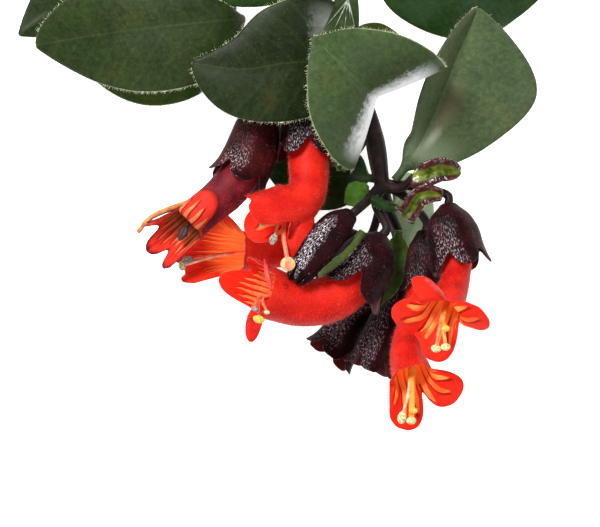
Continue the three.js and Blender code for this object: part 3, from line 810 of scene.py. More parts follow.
def leaf_skin(name, deep, light, olive="#39361a", bloom_and_sheen=None, silver_and_painted_sheen="#c9c6cc", stains_and_glare=()):
    """Fleshy waxy leaf: cloudy greens, olive mottling, pale hair roots, faint side veins and a thin midrib,
    with a satin pebbled gloss. A silvery patch near the base, partly the leaf's own pale wax and partly a
    painted sheen of reflected light, has four shares of the length: where it starts, is full, is still full
    and ends. Each patch laid on is a stain or a painted glare."""
    # broad clouds, 12 mm across, from deep to light green, with olive brown where they are lightest
    tones = [(0.3, deep), (0.6, light), (0.85, olive)]
    finish, add, place, _, tone = start_skin(name, {"Specular IOR Level": 0.12}, 85, 3, tones)
    blade = add("UVMap", uv_map="Blade")
    veins = add("UVMap", uv_map="Veins")
    # mottling of 1 mm cells, yellower where it is light
    cells = add("TexNoise", {"Scale": 800, "Detail": 4, "Roughness": 0.7}, {"Vector": place})
    mottle = add("ValToRGB", None, {"Fac": cells}, [(0.35, "#202c1c"), (0.7, "#d2c98a")])
    green = add("Mix", {FACTOR: 0.45}, {UNDER: tone, OVER: mottle}, blend_type="SOFT_LIGHT")
    # side veins, 6 mm apart and slanting to the tip
    waves = {"Scale": WAVES * 100 / VEIN_STEP, "Distortion": 1.2, "Detail Scale": 3}
    ribs = add("TexWave", waves, {"Vector": veins})
    ribbed = add("MapRange", {1: 0.86, 2: 1.0, 3: 0.0, 4: 0.015}, {0: ribs})
    veined = add("Mix", {OVER: linear("#8c9a6a")}, {FACTOR: ribbed, UNDER: green})
    # pale roots of the sparse surface hairs, 0.9 mm apart, and the midrib, a line 0.3 mm wide
    roots = add("TexVoronoi", {"Scale": 1100}, {"Vector": place})
    dots = add("MapRange", {1: 0.08, 2: 0.16, 3: 0.13, 4: 0.0}, {0: roots})
    off_rib = add("SeparateXYZ", None, {0: veins}, output="Y")
    midrib = add("MapRange", {1: 0.001, 2: 0.004, 3: 0.035, 4: 0.0}, {0: off_rib})
    pale = add("Math", None, {0: dots, 1: midrib}, operation="MAXIMUM")
    skin = add("Mix", {OVER: linear("#8d9a6c")}, {FACTOR: pale, UNDER: veined})
    # each patch, a stain or a painted glare, has its colour, its share, its middle on the blade and half its
    # size there
    for colour, share, middle, half in stains_and_glare:
        off = add("VectorMath", {1: (*middle, 0)}, {0: blade}, operation="SUBTRACT")
        ring = add("VectorMath", {1: (*half, 1)}, {0: off}, operation="DIVIDE")
        far = add("VectorMath", None, {0: ring}, output="Value", operation="LENGTH")
        uneven = add("Math", {1: 0.6}, {0: cells, 2: far}, operation="MULTIPLY_ADD")
        fade = add("MapRange", {1: 0.5, 2: 1.3, 3: share, 4: 0.0}, {0: uneven})
        skin = add("Mix", {OVER: linear(colour)}, {FACTOR: fade, UNDER: skin})
    if bloom_and_sheen:
        # the silvery patch: partly the leaf's own pale wax and partly a painted sheen of reflected light,
        # frayed by the mottling, and thinning out towards the margins
        across = add("SeparateXYZ", None, {0: blade})
        along = across.node.outputs["Y"]
        frayed = add("Math", {1: 0.12}, {0: cells, 2: along}, operation="MULTIPLY_ADD")
        shades = ["#000000", "#ffffff", "#ffffff", "#000000"]
        mask = add("ValToRGB", None, {"Fac": frayed}, [(t + 0.06, shade) for t, shade in zip(bloom_and_sheen, shades)])
        off = add("Math", {1: 0.5}, {0: across}, operation="SUBTRACT")
        far = add("Math", None, {0: off}, operation="ABSOLUTE")
        kept = add("MapRange", {1: 0.3, 2: 0.46, 3: 1.0, 4: 0.0}, {0: far})
        share = add("Math", None, {0: mask, 1: kept}, operation="MULTIPLY")
        skin = add("Mix", {OVER: linear(silver_and_painted_sheen)}, {FACTOR: share, UNDER: skin})
    gloss = add("MapRange", {1: 0.3, 2: 0.7, 3: 0.34, 4: 0.56}, {0: cells})
    # leathery pebbling, 0.1 mm deep
    pebbles = add("Bump", {"Strength": 0.45, "Distance": 0.0001}, {"Height": cells})
    return wire(finish, {"Base Color": skin, "Roughness": gloss, "Normal": pebbles})


def trough_skin(name, low, high, rim, rim_high):
    """Young curled leaf: a yellow-green hollow between thick glossy maroon rims, all a little bullate."""
    glossy = {"Roughness": 0.24, "Specular IOR Level": 0.5}
    finish, add, _, clouds, hollow = start_skin(name, glossy, 500, 4, [(0.35, low), (0.65, high)])
    edge = add("ValToRGB", None, {"Fac": clouds}, [(0.35, rim), (0.7, rim_high)])
    across = add("SeparateXYZ", None, {0: add("UVMap", uv_map="Blade")})
    off = add("Math", {1: 0.5}, {0: across}, operation="SUBTRACT")
    far = add("Math", None, {0: off}, operation="ABSOLUTE")
    frayed = add("Math", {1: 0.2}, {0: clouds, 2: far}, operation="MULTIPLY_ADD")
    band = add("MapRange", {1: 0.36, 2: 0.42}, {0: frayed})
    skin = add("Mix", None, {FACTOR: band, UNDER: hollow, OVER: edge})
    relief = add("Bump", {"Strength": 0.8, "Distance": 0.0004}, {"Height": clouds})
    return wire(finish, {"Base Color": skin, "Normal": relief})


def leaf_back(name, base, vein):
    """Matt sage underside with a netting of paler veins."""
    matt = {"Roughness": 0.6, "Sheen Weight": 0.2, "Sheen Roughness": 0.5}
    finish, add, _, clouds, tone = start_skin(name, matt, 220, 5, [(0.3, base), (0.75, vein)])
    off_rib = add("SeparateXYZ", None, {0: add("UVMap", uv_map="Veins")}, output="Y")
    rib = add("MapRange", {1: 0.004, 2: 0.01, 3: 0.7, 4: 0.0}, {0: off_rib})
    ribbed = add("Mix", {OVER: linear(vein)}, {FACTOR: rib, UNDER: tone})
    relief = add("Bump", {"Strength": 0.3, "Distance": 0.0001}, {"Height": clouds})
    return wire(finish, {"Base Color": ribbed, "Normal": relief})


def cloudy(name, low, high, size_mm, roughness, bump=0.2, **values):
    """A plant skin of two tones in clouds of one size, with a fine relief."""
    values = {"Roughness": roughness} | values
    finish, add, place, _, tone = start_skin(name, values, 1000 / size_mm, 4, [(0.35, low), (0.65, high)])
    fine = add("TexNoise", {"Scale": 3500 / size_mm, "Detail": 3}, {"Vector": place})
    relief = add("Bump", {"Strength": bump, "Distance": 0.0001}, {"Height": fine})
    return wire(finish, {"Base Color": tone, "Normal": relief})


def calyx_skin(name, dark, warm, glint, above=1.0):
    """Aubergine calyx: nearly black with warmer clouds, under silvery down combed along it. Its glints are
    painted: short pale dashes combed along it, painted on the sides turned to the light. glint is their
    strength, and above what share of it the calyx has below its lobes."""
    dull = {"Roughness": 0.5, "Specular IOR Level": 0.06}
    finish, add, _, clouds, tone = start_skin(name, dull, 200, 3, [(0.35, dark), (0.7, warm)])
    flow = add("UVMap", uv_map="Flow")
    # dashes 0.2 mm wide and 0.8 mm long
    combed = add("VectorMath", {1: (150, 130, 0)}, {0: flow}, operation="MULTIPLY")
    dashes = add("TexNoise", {"Scale": 1, "Detail": 1}, {"Vector": combed})
    facing = {0: add("NewGeometry")}
    turned = add("VectorMath", {1: LIT_SIDE}, facing, output="Value", operation="DOT_PRODUCT")
    patchy = add("Math", {1: 0.35}, {0: clouds, 2: turned}, operation="MULTIPLY_ADD")
    lit = add("MapRange", {1: 1.0, 2: 1.15, 3: 0.0, 4: glint}, {0: patchy})
    glints = add("MapRange", {1: 0.54, 2: 0.64, 3: 0.0, 4: 1.0}, {0: dashes})
    along = add("SeparateXYZ", None, {0: flow}, output="Y")
    near = add("MapRange", {1: 0.46, 2: 0.52, 3: above, 4: 1.0}, {0: along})
    # painted glints: pale dashes only where the calyx turns to the light, weaker below the lobes
    painted_glint_share = add("Math", None, {0: lit, 1: near}, operation="MULTIPLY")
    silver_and_painted_sheen = add("Math", None, {0: painted_glint_share, 1: glints}, operation="MULTIPLY")
    tone_with_painted_glints = add("Mix", {OVER: linear("#e6dce4")}, {FACTOR: silver_and_painted_sheen, UNDER: tone})
    relief = add("Bump", {"Strength": 0.4, "Distance": 0.0002}, {"Height": dashes})
    return wire(finish, {"Base Color": tone_with_painted_glints, "Normal": relief})


def petal_skin(name, low, high, sheen, shining=0.2):
    """Velvety petal: saturated red in soft clouds, with a touch of sheen and a fine nap, painted shade where
    it turns aside and a faint painted glow.
    """
    values = {"Roughness": 0.55, "Specular IOR Level": 0.1, "Emission Strength": shining}
    values |= {"Sheen Weight": 0.03, "Sheen Roughness": 0.35, "Sheen Tint": linear(sheen)}
    finish, add, place, _, tone = start_skin(name, values, 180, 4, [(0.35, low), (0.7, high)])
    nap = add("TexNoise", {"Scale": 2600, "Detail": 2}, {"Vector": place})
    grain = add("MapRange", {1: 0.35, 2: 0.7, 3: 0.8, 4: 1.12}, {0: nap})
    velvet = add("Mix", {FACTOR: 1.0}, {UNDER: tone, OVER: grain}, blend_type="MULTIPLY")
    # painted shade: darker where it turns aside from the sky
    up = add("SeparateXYZ", None, {0: add("NewGeometry")}, output="Z")
    painted_turned_shade = add("MapRange", {1: 0.0, 2: 0.8, 3: 0.68, 4: 1.0}, {0: up})
    velvet = add("Mix", {FACTOR: 1.0}, {UNDER: velvet, OVER: painted_turned_shade}, blend_type="MULTIPLY")
    # a few dark smudges, 1 to 2 mm across
    spots = add("TexVoronoi", {"Scale": 95}, {"Vector": place})
    worn = add("Math", {1: 0.35}, {0: nap, 2: spots}, operation="MULTIPLY_ADD")
    smudge = add("MapRange", {1: 0.2, 2: 0.3, 3: 0.6, 4: 0.0}, {0: worn})
    velvet = add("Mix", {OVER: linear("#4a0c08")}, {FACTOR: smudge, UNDER: velvet})
    relief = add("Bump", {"Strength": 0.4, "Distance": 0.0001}, {"Height": nap})
    # painted glow: the petal gives off a little light of its own, standing in for light through its thin wall
    return wire(finish, {"Base Color": velvet, "Emission Color": velvet, "Normal": relief})


def throat_skin(name, red, line, orange, glow, deep, fade, stripes, shining, glowing=(0.44, 0.5), rim=None):
    """A corolla's lining: a throat with a painted glow, running out over each lobe as a few raised pale
    streaks, each with a dark stroke on one side, partly the lining's own dark lines and partly painted
    shadow, which thin out into the petal's red."""
    values = {"Roughness": 0.5, "Specular IOR Level": 0.04, "Emission Strength": shining}
    finish, add, _, warp, pale = start_skin(name, values, 260, 3, [(0.35, orange), (0.65, glow)])
    lobe = add("UVMap", uv_map="Lobe")
    out = add("SeparateXYZ", None, {0: lobe}, output="Y")
    # the further out on the lobe, the narrower the streaks and their strokes
    edge = add("MapRange", {1: 0.0, 2: fade, 3: 0.1, 4: 1.5}, {0: out})
    frayed = add("Math", {1: 0.5, 2: -0.25}, {0: warp}, operation="MULTIPLY_ADD")
    limit = add("Math", None, {0: edge, 1: frayed}, operation="ADD")
    flush = add("MapRange", {1: 0.35, 2: 0.7, 3: 0.86, 4: 1.08}, {0: warp})
    ground = add("Mix", {FACTOR: 1.0, UNDER: linear(red)}, {OVER: flush}, blend_type="MULTIPLY")
    # first the dark strokes, partly the lining's own lines and partly painted shadow on one side of each
    # raised streak, and then the pale streaks over them
    waves = {"Scale": WAVES * stripes, "Distortion": 1.6, "Detail": 2, "Detail Scale": 2.0}
    for phase, lift in [(0.8, 0.1), (0.0, 0.0)]:
        streaks = add("TexWave", waves | {"Phase Offset": phase}, {"Vector": lobe})
        above = add("Math", None, {0: streaks, 1: limit}, operation="SUBTRACT")
        drawn = add("MapRange", {1: -lift, 2: 0.12 - lift}, {0: above})
        links = {FACTOR: drawn, UNDER: ground} | ({} if lift else {OVER: pale})
        ground = add("Mix", {OVER: linear(line)}, links)
    if rim:
        withered = add("MapRange", {1: 0.82, 2: 0.96}, {0: out})
        ground = add("Mix", {OVER: linear(rim)}, {FACTOR: withered, UNDER: ground})
    # deep in the throat the streaks run together
    depth = add("SeparateXYZ", None, {0: add("UVMap", uv_map="Flow")}, output="Y")
    bounds = {1: glowing[0], 2: glowing[1]}
    inside = add("MapRange", bounds | {3: 0.7, 4: 0.0}, {0: depth})
    lining = add("Mix", {OVER: linear(deep)}, {FACTOR: inside, UNDER: ground})
    # painted glow: the lining gives off a little light of its own, most of it deep in the throat, against the
    # shade there
    through = add("MapRange", bounds | {3: 1.0, 4: 0.3}, {0: depth})
    shone = add("Mix", {FACTOR: 1.0}, {UNDER: lining, OVER: through}, blend_type="MULTIPLY")
    relief = add("Bump", {"Strength": 0.5, "Distance": 0.0003}, {"Height": streaks})
    return wire(finish, {"Base Color": lining, "Emission Color": shone, "Normal": relief})


def stem_skin():
    """Young bark: purple brown with greener streaks along it, and a pale pith where it is cut."""
    tones = [(0.3, "#0f090b"), (0.55, "#221413"), (0.78, "#3c2c20")]
    values = {"Roughness": 0.5, "Specular IOR Level": 0.15}
    finish, add, place, clouds, bark = start_skin("purple_stem_skin", values, 260, 5, tones)
    along = add("SeparateXYZ", None, {0: place}, output="Y")
    cut = add("MapRange", {1: CUT_END, 2: CUT_END + 0.0002}, {0: along})
    faced = add("Mix", {OVER: linear("#b9b98a")}, {FACTOR: cut, UNDER: bark})
    relief = add("Bump", {"Strength": 0.5, "Distance": 0.0002}, {"Height": clouds})
    return wire(finish, {"Base Color": faced, "Normal": relief})


deep_green = leaf_skin("deep_green_leaf_skin", "#16300f", "#213c18")
moss_green = leaf_skin("moss_green_leaf_skin", "#1c2b12", "#293819")
low_green = leaf_skin("low_leaf_skin", "#34461f", "#43562b")
# silvery patches near the bases: partly pale wax, partly a painted sheen of reflected light
grey_bloom_and_sheen = {"bloom_and_sheen": (0.0, 0.1, 0.24, 0.38), "silver_and_painted_sheen": "#8f918c"}
grey_green = leaf_skin("grey_green_leaf_skin", "#141f0c", "#1f2c14", **grey_bloom_and_sheen)
soft_bloom_and_sheen = {"bloom_and_sheen": (0.0, 0.1, 0.39, 0.47), "silver_and_painted_sheen": "#e4e5e6"}
soft_green = leaf_skin("soft_green_leaf_skin", "#35452c", "#3e5033", "#474c2e", **soft_bloom_and_sheen)
crease_bloom_and_sheen = {"bloom_and_sheen": (0.12, 0.19, 0.2, 0.34), "silver_and_painted_sheen": "#626d55"}
# on the creased leaf a brown stain, and a pale patch near the base that is painted glare
stains_and_glare = [("#6c6148", 0.5, (0.585, 0.45), (0.09, 0.2)), ("#b0b2a8", 0.5, (0.6, 0.26), (0.06, 0.11))]
crease_green = leaf_skin("creased_leaf_skin", "#3c4c35", "#48573d", "#52563a", stains_and_glare=stains_and_glare, **crease_bloom_and_sheen)
olive_green = leaf_skin("olive_leaf_skin", "#2f3c16", "#41511d", "#4f5424")
fresh_green = leaf_skin("fresh_leaf_skin", "#35601c", "#4c7628", "#5f7c30")
sage_green = leaf_skin("sage_leaf_skin", "#93a98a", "#a9bfa2", "#b9c9a8")
young_green = leaf_skin("young_leaf_skin", "#3d551c", "#4e6b2a", "#62722e")
sage_back = leaf_back("sage_leaf_underside", "#6f8458", "#93a57c")
pale_margin = cloudy("pale_leaf_margin", "#5a6640", "#8d976a", 1.5, 0.5)
purple_margin = cloudy("purple_leaf_margin", "#1f1214", "#3a2920", 1.5, 0.5)
trough_green = trough_skin("young_leaf_hollow", "#2e390d", "#6a7824", "#1f080a", "#54201a")
trough_back = cloudy("young_leaf_back", "#2c2c18", "#4d4a26", 1.5, 0.4)
trough_margin = cloudy("young_leaf_margin", "#26090e", "#5c181c", 1.0, 0.2, bump=0.8)
DULL = {"Specular IOR Level": 0.1}
# the calyx skins differ in how strong their painted glints are
calyx_front = calyx_skin("aubergine_calyx_skin", "#100305", "#2a080c", 1.0)
calyx_painted_glints = calyx_skin("painted_glints_calyx_skin", "#100305", "#2c090d", 0.3)
calyx_dim = calyx_skin("dark_calyx_skin", "#120305", "#30090d", 0.38, 0.2)
calyx_warm = calyx_skin("maroon_calyx_skin", "#140405", "#420d10", 0.45, 0.12)
calyx_lining = cloudy("maroon_calyx_lining", "#34060b", "#5e0c12", 2.5, 0.5, **DULL)
calyx_rim = cloudy("maroon_calyx_rim", "#24080d", "#451319", 1.0, 0.45, **DULL)
petal_red = petal_skin("scarlet_petal_skin", "#a60c07", "#c62112", "#ff9c90")
# a copy with more painted glow, for the flower that lies in the shade of those above it
petal_painted_glow = petal_skin("painted_glow_petal_skin", "#b00d08", "#d02414", "#ff9c90", 0.4)
petal_rim = cloudy("scarlet_petal_rim", "#a00e0a", "#cc2418", 1.5, 0.5)
ridge_pink = cloudy("pink_petal_fold", "#b81c14", "#d03a30", 1.5, 0.5)
petal_old = petal_skin("faded_petal_skin", "#520f18", "#841b26", "#d88c90")
petal_old_rim = cloudy("faded_petal_rim", "#340c10", "#6d1c1c", 1.5, 0.5)
throat_colours = ["#dc2616", "#a0120a", "#e65a22", "#f08c48", "#e86c20"]
throat = throat_skin("striped_throat_lining", *throat_colours, 1.15, 3, 0.4)
throat_colours = ["#d82414", "#981409", "#e05428", "#ee8850", "#ea7430"]
throat_fine = throat_skin("fine_throat_lining", *throat_colours, 0.9, 6, 0.4)
throat_colours = ["#dc2c1a", "#9c1c0c", "#e45c28", "#f28e48", "#ee7c3c"]
# the fanned lining lies in shade, and gets a stronger painted glow
throat_wide = throat_skin("fanned_throat_lining", *throat_colours, 0.98, 5, 0.58, (0.5, 0.57))
throat_colours = ["#cc2c20", "#74140e", "#d0502e", "#e08450", "#38100c"]
throat_old = throat_skin("faded_throat_lining", *throat_colours, 1.0, 4, 0.22, (0.49, 0.55), "#6a1814")
filament_red = cloudy("salmon_filament_skin", "#d04a30", "#e88664", 2.0, 0.4)
filament_salmon = cloudy("orange_filament_skin", "#dc6238", "#ee8e64", 2.0, 0.4)
filament_pale = cloudy("cream_filament_skin", "#e89c78", "#f8d4b8", 2.0, 0.4)
filament_gold = cloudy("golden_filament_skin", "#d87420", "#e89c40", 2.0, 0.4)
filament_old = cloudy("withered_style_skin", "#a8562c", "#d08a48", 1.5, 0.5)
anther_cream = cloudy("cream_anther_skin", "#8f9458", "#dcd6a4", 0.5, 0.6, bump=0.5)
anther_grey = cloudy("spent_anther_skin", "#5a4a44", "#a8988c", 0.5, 0.6, bump=0.5)
anther_dark = cloudy("withered_anther_skin", "#180806", "#3c1814", 0.8, 0.6, bump=0.6)
stigma_yellow = cloudy("yellow_stigma_skin", "#d89020", "#f0bc4c", 0.6, 0.45, bump=0.3)
stigma_peach = cloudy("peach_stigma_skin", "#cc8850", "#e8b880", 0.8, 0.45, bump=0.3)
stigma_pink = cloudy("pink_stigma_skin", "#d06848", "#e08c68", 0.8, 0.45, bump=0.3)
stem_bark = stem_skin()
silky_hair = cloudy("silky_leaf_hair", "#5c6a58", "#a4aca0", 1.0, 0.4)
leaf_hair = cloudy("pale_leaf_hair", "#c4c79c", "#e6e6cc", 1.0, 0.5)
calyx_hair = cloudy("silver_calyx_hair", "#1c1012", "#8c7c80", 1.0, 0.5, **DULL)
stem_hair = cloudy("brown_stem_hair", "#1c1210", "#4a3c34", 1.0, 0.5, **DULL)
petal_hair = cloudy("pink_petal_hair", "#cc2c22", "#f07064", 1.0, 0.6, **DULL)
old_petal_hair = cloudy("rosy_petal_hair", "#80303a", "#c07a7e", 1.0, 0.6, **DULL)

# The knobs that strands end in: how far up one is, whether crosswise, half its sizes, its groove, its finish
CROWNS = {
    "style": [],
    "anthers": [(0, True, [1.25, 0.95, 0.7], 0.4, anther_cream)],
    "long_anthers": [(0, False, [1.6, 1.1, 0.75], 0.35, anther_cream)],
    "spent": [(0, False, [1.5, 0.95, 0.5], 0.4, anther_grey)],
    "small_anthers": [(0, True, [0.75, 0.55, 0.45], 0.3, anther_cream)],
    "small_spent": [(0, True, [1.1, 0.55, 0.4], 0.3, anther_grey)],
    "withered": [(0, False, [2, 1, 0.7], 0.5, anther_dark), (-0.3, True, [1.3, 0.9, 0.6], 0.4, anther_dark)],
    "stigma": [(0, False, [0.8, 1.1, 0.8], 0.25, stigma_yellow)],
    "pad": [(0.3, True, [1.5, 1.0, 0.7], 0.1, stigma_yellow)],
    "disc": [(-0.35, True, [1.9, 1.8, 0.5], 0, stigma_peach), (-0.1, False, [1.5, 1, 0.36], 0, stigma_pink)],
}


# ---- the shoot ----


def place_on_shoot(piece, node):
    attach(piece, "root")
    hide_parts(node)


LEAF_LOOKS = {
    "leaf_front_left": (grey_green, pale_margin),
    "leaf_front_folded": (soft_green, pale_margin),
    "leaf_top_right": (deep_green, purple_margin),
    "leaf_right": (crease_green, purple_margin),
    "leaf_left": (moss_green, pale_margin),
    "leaf_left_back": (moss_green, purple_margin),
    "leaf_left_low": (low_green, purple_margin),
    "leaf_behind_cluster": (deep_green, purple_margin),
    "leaf_behind_stem_low": (fresh_green, pale_margin),
    "leaf_behind_stem_high": (olive_green, pale_margin),
    "leaf_under_cluster": (sage_green, pale_margin),
    "leaf_top_left": (deep_green, purple_margin),
}
# The stalk end of the folded leaf, which shows above its front half, and where the pale streaks down it start
# and end
STALK_END = {
    "spine": [[15.9, 39.6, 22.6], [15.1, 38.9, 27.5], [14, 35, 32], [12.6, 28, 35], [11.7, 20, 36.6]],
    "face": [[0, 1, 0.3], [0, 0.6, 0.8], [0, 0, 1], [0, 0, 1]],
    "halves": [[4.6, 1.5, 0.5, 0.6]],
    "fold": [10, 10],
}
STREAK_START = [15, 37.9, 30.8]
STREAK_ENDS = [[9.4, 31.2, 35.6], [11.4, 30.2, 35.8], [14, 30, 35.7], [15.6, 33, 34.4], [16.8, 30.4, 35.8]]
STREAK_RADIUS = 0.24
for name, shape in LEAVES.items():
    skin, margin = LEAF_LOOKS[name]
    leaf = grow_leaf(name + "_blade", shape, LEAF_GRID, [skin, sage_back, margin])
    fringe(leaf, shape, leaf_hair, LEAF_FRINGE)
    if name == "leaf_front_folded":
        base = grow_leaf("leaf_stalk_end", STALK_END, STALK_END_GRID, [moss_green, sage_back, purple_margin])
        starts = np.tile(STREAK_START, (len(STREAK_ENDS), 1))
        runs = STREAK_ENDS - starts
        lengths = np.linalg.norm(runs, axis=1)
        streaks = hairs("stalk_end_streaks", starts, unit(runs), lengths, STREAK_RADIUS, silky_hair)
        join_into(leaf, [base, streaks])
    place_on_shoot(leaf, name)

YOUNG_LOOKS = {
    "leaf_small": (young_green, sage_back, pale_margin),
    "bract_left": (fresh_green, sage_back, pale_margin),
    "bract_long": (olive_green, sage_back, pale_margin),
    "bract_short": (deep_green, sage_back, purple_margin),
    "young_leaf_upper": (trough_green, trough_back, trough_margin),
    "young_leaf_lower": (trough_green, trough_back, trough_margin),
}
for name, shape in YOUNG_LEAVES.items():
    leaf = grow_leaf(name + "_blade", shape, YOUNG_GRID, YOUNG_LOOKS[name])
    fringe(leaf, shape, leaf_hair, YOUNG_FRINGE)
    place_on_shoot(leaf, name)

# The small lower petals that curl up to face the sky
LIPS = {
    "centre": {
        "spine": [[4.5, -15, 34], [3.25, -18.5, 36.5], [1.75, -23, 37], [1.5, -27.5, 36.5]],
        "halves": [[3.1, 0.8, 0.5, 0.6]],
        "petiole": 0.05,
        "fold": [-14, -14],
        "blade": 0.7,
        "crinkle": 0.12,
    },
    "low_centre": {
        "spine": [[-5.5, -38, 30], [-7.75, -40.75, 32.5], [-8.75, -44, 33.5], [-9.25, -47.5, 33.5]],
        "halves": [[1.9, 1.1, 0.5, 0.5]],
        "petiole": 0.05,
        "fold": [8, 8],
        "blade": 0.7,
        "crinkle": 0.12,
    },
}
# Each strand's finish and radius, the last of them for all that follow
STRAND_LOOKS = {
    "left": [(filament_old, 0.8), (anther_dark, 0.6)],
    "low_left": [(filament_pale, 0.4), (filament_red, 0.3)],
    "centre": [(filament_red, 0.45), (filament_red, 0.7), (filament_red, 0.3)],
    "right": [(filament_salmon, 0.65), (filament_gold, 0.6)],
    "low_right": [(filament_pale, 0.5), (filament_gold, 0.95), (filament_gold, 0.6)],
}
# A style that bends over in the air
BENT_STYLES = {("left", 0): [-32.5, -15.5, 35]}
# Raised folds along a mouth's edge
RIDGES = {
    "right": [
        [33.2, -31, 47.2], [34.6, -32, 47.5], [36.1, -33.4, 46.9], [37.6, -34.9, 45.9], [39.3, -36.9, 43.9],
    ],
    "low_centre": [[-5.9, -26.8, 35.3], [-5.3, -29.6, 37.4], [-4.6, -32.4, 38.4], [-4.2, -34.8, 38.7]],
}


def grow_calyx(node, shape, grid, rib, skin):
    """A calyx from its stalk to its lobes, with its down."""
    end = shape.get("length", Line(shape["axis"]).length)
    cup = {"start": 0, "end": end, "wall": CALYX_WALL, "ruffle": 0.1, "rib": rib} | shape
    calyx = blow_bell(node + "_cup", cup, grid, [skin, calyx_lining, calyx_rim])
    grow_down(calyx, shape["axis"], calyx_hair, *CALYX_DOWN)
    place_on_shoot(calyx, node)


def grow_corolla(name, flower, length, old):
    """A corolla with its lip, its raised fold and its down."""
    tube = {"axis": flower["axis"], "start": CALYX_FLOOR + GAP, "end": length, "wall": PETAL_WALL}
    tube |= {"radii": flower["tube"], "lobes": flower["petals"], "side": flower.get("side", [0, 0, 1])}
    skin = {"left": petal_old, "low_left": petal_painted_glow}.get(name, petal_red)
    lining = {"left": throat_old, "low_left": throat_wide, "low_centre": throat_fine}.get(name, throat)
    looks = [skin, lining, petal_old_rim if old else petal_rim]
    corolla = blow_bell("corolla_" + name + "_petals", tube, COROLLA_GRID, looks)
    if name in LIPS:
        lip = grow_leaf("lip_" + name, LIPS[name], LIP_GRID, [petal_red, petal_red, petal_rim])
        join_into(corolla, [lip])
    if name in RIDGES:
        ridge = draw_stalk("ridge_" + name, RIDGES[name], [0.2, 0.6, 0.65, 0.3], sides=10)
        dress(ridge, [ridge_pink])
        join_into(corolla, [ridge])
    grow_down(corolla, flower["axis"], old_petal_hair if old else petal_hair, *PETAL_DOWN)
    place_on_shoot(corolla, "corolla_" + name)


def grow_stamens(name, flower, path):
    """The ovary in a flower's tube, with the filaments and the style that run out of its mouth."""
    mouth = path.length
    floor = mouth - flower.get("throat", THROAT) + GAP
    below, start, middle = path.at(np.array([floor - OVARY_LENGTH, floor, mouth]) / mouth)
    strands = []
    for number, (tip, end) in enumerate(zip(flower["tips"], flower["ends"])):
        tip = np.array(tip, float)
        way = np.array(BENT_STYLES.get((name, number), middle + (tip - middle) * 0.25), float)
        looks = STRAND_LOOKS.get(name, [(filament_red, 0.42)])
        skin, thick = looks[min(number, len(looks) - 1)]
        radii = [thick, thick, thick * 0.75]
        strand = draw_stalk(f"filament_{name}_{number}", [start, way, tip], radii, sides=10, step=0.9)
        dress(strand, [skin])
        strands += [strand, *crown(name, end, tip, tip - way)]
    points = [below, (below + start) / 2, start]
    ovary = draw_stalk("ovary_" + name, points, [0.5, 1.0, 0.8], sides=12, step=0.5)
    dress(ovary, [filament_pale])
    stamens = join_into(ovary, strands)
    stamens.name = "stamens_" + name + "_bundle"
    place_on_shoot(stamens, "stamens_" + name)


for name, flower in FLOWERS.items():
    old = flower.get("old", False)
    skin = {"left": calyx_warm, "low_centre": calyx_painted_glints}.get(name, calyx_dim)
    path = Line(flower["axis"])
    grow_calyx("calyx_" + name, flower["calyx"] | {"axis": flower["axis"]}, CALYX_GRID, 0.05, skin)
    grow_corolla(name, flower, path.length, old)
    grow_stamens(name, flower, path)

for name, shape in CALYCES.items():
    rib, skin = (0.06, calyx_front) if "bud" in name else (0.14, calyx_painted_glints)
    grow_calyx(name, shape, EMPTY_CALYX_GRID, rib, skin)


def meet(axis):
    """The last stretch of a flower's stalk, straight into its calyx."""
    start, second = np.array(axis[0], float), np.array(axis[1], float)
    back = unit(start - second)
    return [start + back * MEETING, start - back * 0.4]


NODE_LOW = [23.5, -8, 22]
NODE_MIDDLE = [17.5, 21, 22]
NODE_TOP = [14, 46, 20]
FORK = [25.5, -15, 16]
MAIN = [
    [13, 69.3, 18], [13.5, 58, 19], NODE_TOP, [15.75, 33, 22], NODE_MIDDLE, [21, 7, 22], NODE_LOW,
    [24.5, -10, 22],
]
TWIG = [
    [13.5, 56, 19], [3, 57, 18], [-8, 51, 17], [-13, 43, 17], [-14, 35, 17], [-13, 30, 17],
    [-11.5, 26.5, 17],
]
# The stem, the twig, and each flower's and calyx's own stalk, with their radii
STALKS = [
    (MAIN, [2.1, 1.9, 2.3, 1.7, 2.3, 1.6, 2.5, 1.8]),
    (TWIG, [1.5, 1.4, 1.3, 1.2, 1.2, 1.1, 1.0]),
    ([NODE_MIDDLE, [10, 18, 19.5], [1, 19.5, 21]] + meet(FLOWERS["left"]["axis"]), [1.2, 1.1, 1.1]),
    ([NODE_MIDDLE, [12, 20, 21]] + meet(FLOWERS["centre"]["axis"]), [1.2, 1.2, 1.2]),
    ([NODE_LOW, [20, -12, 24.5]] + meet(CALYCES["calyx_bud"]["axis"]), [1.4, 1.2, 1.2]),
    ([NODE_LOW, [22, -13, 23]] + meet(FLOWERS["low_centre"]["axis"]), [1.4, 1.3, 1.2, 1.2]),
    ([NODE_LOW, FORK, [27.5, -23, 9]] + meet(CALYCES["calyx_open_left"]["axis"]), [1.5, 1.3, 1.1]),
    ([FORK, [28, -21, 13.5]] + meet(CALYCES["calyx_open_right"]["axis"]), [1.2, 1.1, 1.1]),
    ([NODE_LOW, [22.5, -15.5, 15]] + meet(FLOWERS["low_left"]["axis"]), [1.2, 1.1, 1.1]),
    ([NODE_LOW, [29, -11, 21]] + meet(FLOWERS["low_right"]["axis"]), [1.4, 1.2, 1.1, 1.1]),
    ([NODE_LOW, [31, -8.5, 22]] + meet(FLOWERS["right"]["axis"]), [1.3, 1.2, 1.1, 1.1]),
    ([NODE_LOW, [28, -9, 24.5], [31.4, -6.2, 27]], [1.3, 1.1, 1.0]),
]
stalks = [draw_stalk(f"stalk_{i}", points, radii) for i, (points, radii) in enumerate(STALKS)]
stem = join_into(stalks[0], stalks[1:])
stem.name = "stem_and_stalks"
choose(stem)
stem.data.remesh_voxel_size = VOXEL * MM
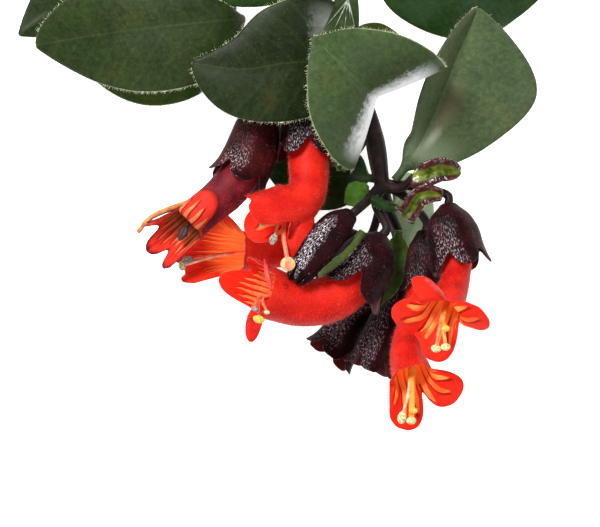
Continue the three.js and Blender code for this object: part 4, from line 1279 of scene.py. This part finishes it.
bpy.ops.object.voxel_remesh()
modify(stem, "SMOOTH", factor=0.5, iterations=6)
bpy.ops.object.shade_smooth()
dress(stem, [stem_bark])
grow_down(stem, MAIN, stem_hair, *STEM_DOWN)
place_on_shoot(stem, "stem")


# ---- the table, the light and the camera, in metres ----

TABLE_SIZE = 6
LIT_POINT = (0, 0, 0.02)  # where the lights are turned to
ROOM_LIGHT = 0.2
VIEW_WIDTH = 0.150
VIEW_MIDDLE = (0.003, -0.027875, 0.022)
CAMERA_HEIGHT = 4.0
SENSOR_WIDTH = 36


def spread_paper():
    """Smooth white paper, faintly fibrous, that glows a little and so keeps the shadows on it faint."""
    glow = {"Emission Color": (1, 1, 1, 1), "Emission Strength": 0.8}
    paper, add = new_finish("pale_paper", {"Roughness": 0.8, "Specular IOR Level": 0.1} | glow)
    fibres = add("TexNoise", {"Scale": 30, "Detail": 6})
    tint = add("ValToRGB", None, {"Fac": fibres}, [(0.3, "#fafafa"), (0.7, "#ffffff")])
    return wire(paper, {"Base Color": tint})


def hang_light(name, place, size, watts):
    """A soft square white light, turned to the lit point."""
    bpy.ops.object.light_add(type="AREA", location=place)
    lamp = bpy.context.object
    lamp.name = name
    lamp.data.size, lamp.data.energy = size, watts
    way = np.array(place, float) - np.array(LIT_POINT, float)
    flat = math.hypot(way[0], way[1])
    lamp.rotation_euler = (math.atan2(flat, way[2]), 0, math.atan2(way[0], -way[1]))


table = start_piece("pale_table", bpy.ops.mesh.primitive_plane_add, size=TABLE_SIZE)
dress(table, [spread_paper()])

hang_light("key_softbox", (-0.4, 0.6, 0.9), 0.4, 21)
hang_light("fill_softbox", (0.8, -0.2, 0.9), 0.8, 7)
hang_light("low_softbox", (-0.5, -0.8, 0.8), 0.8, 5)

world = bpy.data.worlds.new("white_room")
bpy.context.scene.world = world
world.use_nodes = True
room = world.node_tree.nodes["Background"].inputs
room["Color"].default_value = (1, 1, 1, 1)
room["Strength"].default_value = ROOM_LIGHT
bpy.context.scene.view_settings.view_transform = "Standard"

# the camera looks straight down, with the cut end up
bpy.ops.object.camera_add(location=(*VIEW_MIDDLE[:2], CAMERA_HEIGHT), rotation=(0, 0, 0))
camera = bpy.context.object
camera.name = "overhead_camera"
camera.data.sensor_width = SENSOR_WIDTH
camera.data.lens = SENSOR_WIDTH * (CAMERA_HEIGHT - VIEW_MIDDLE[2]) / VIEW_WIDTH
bpy.context.scene.camera = camera
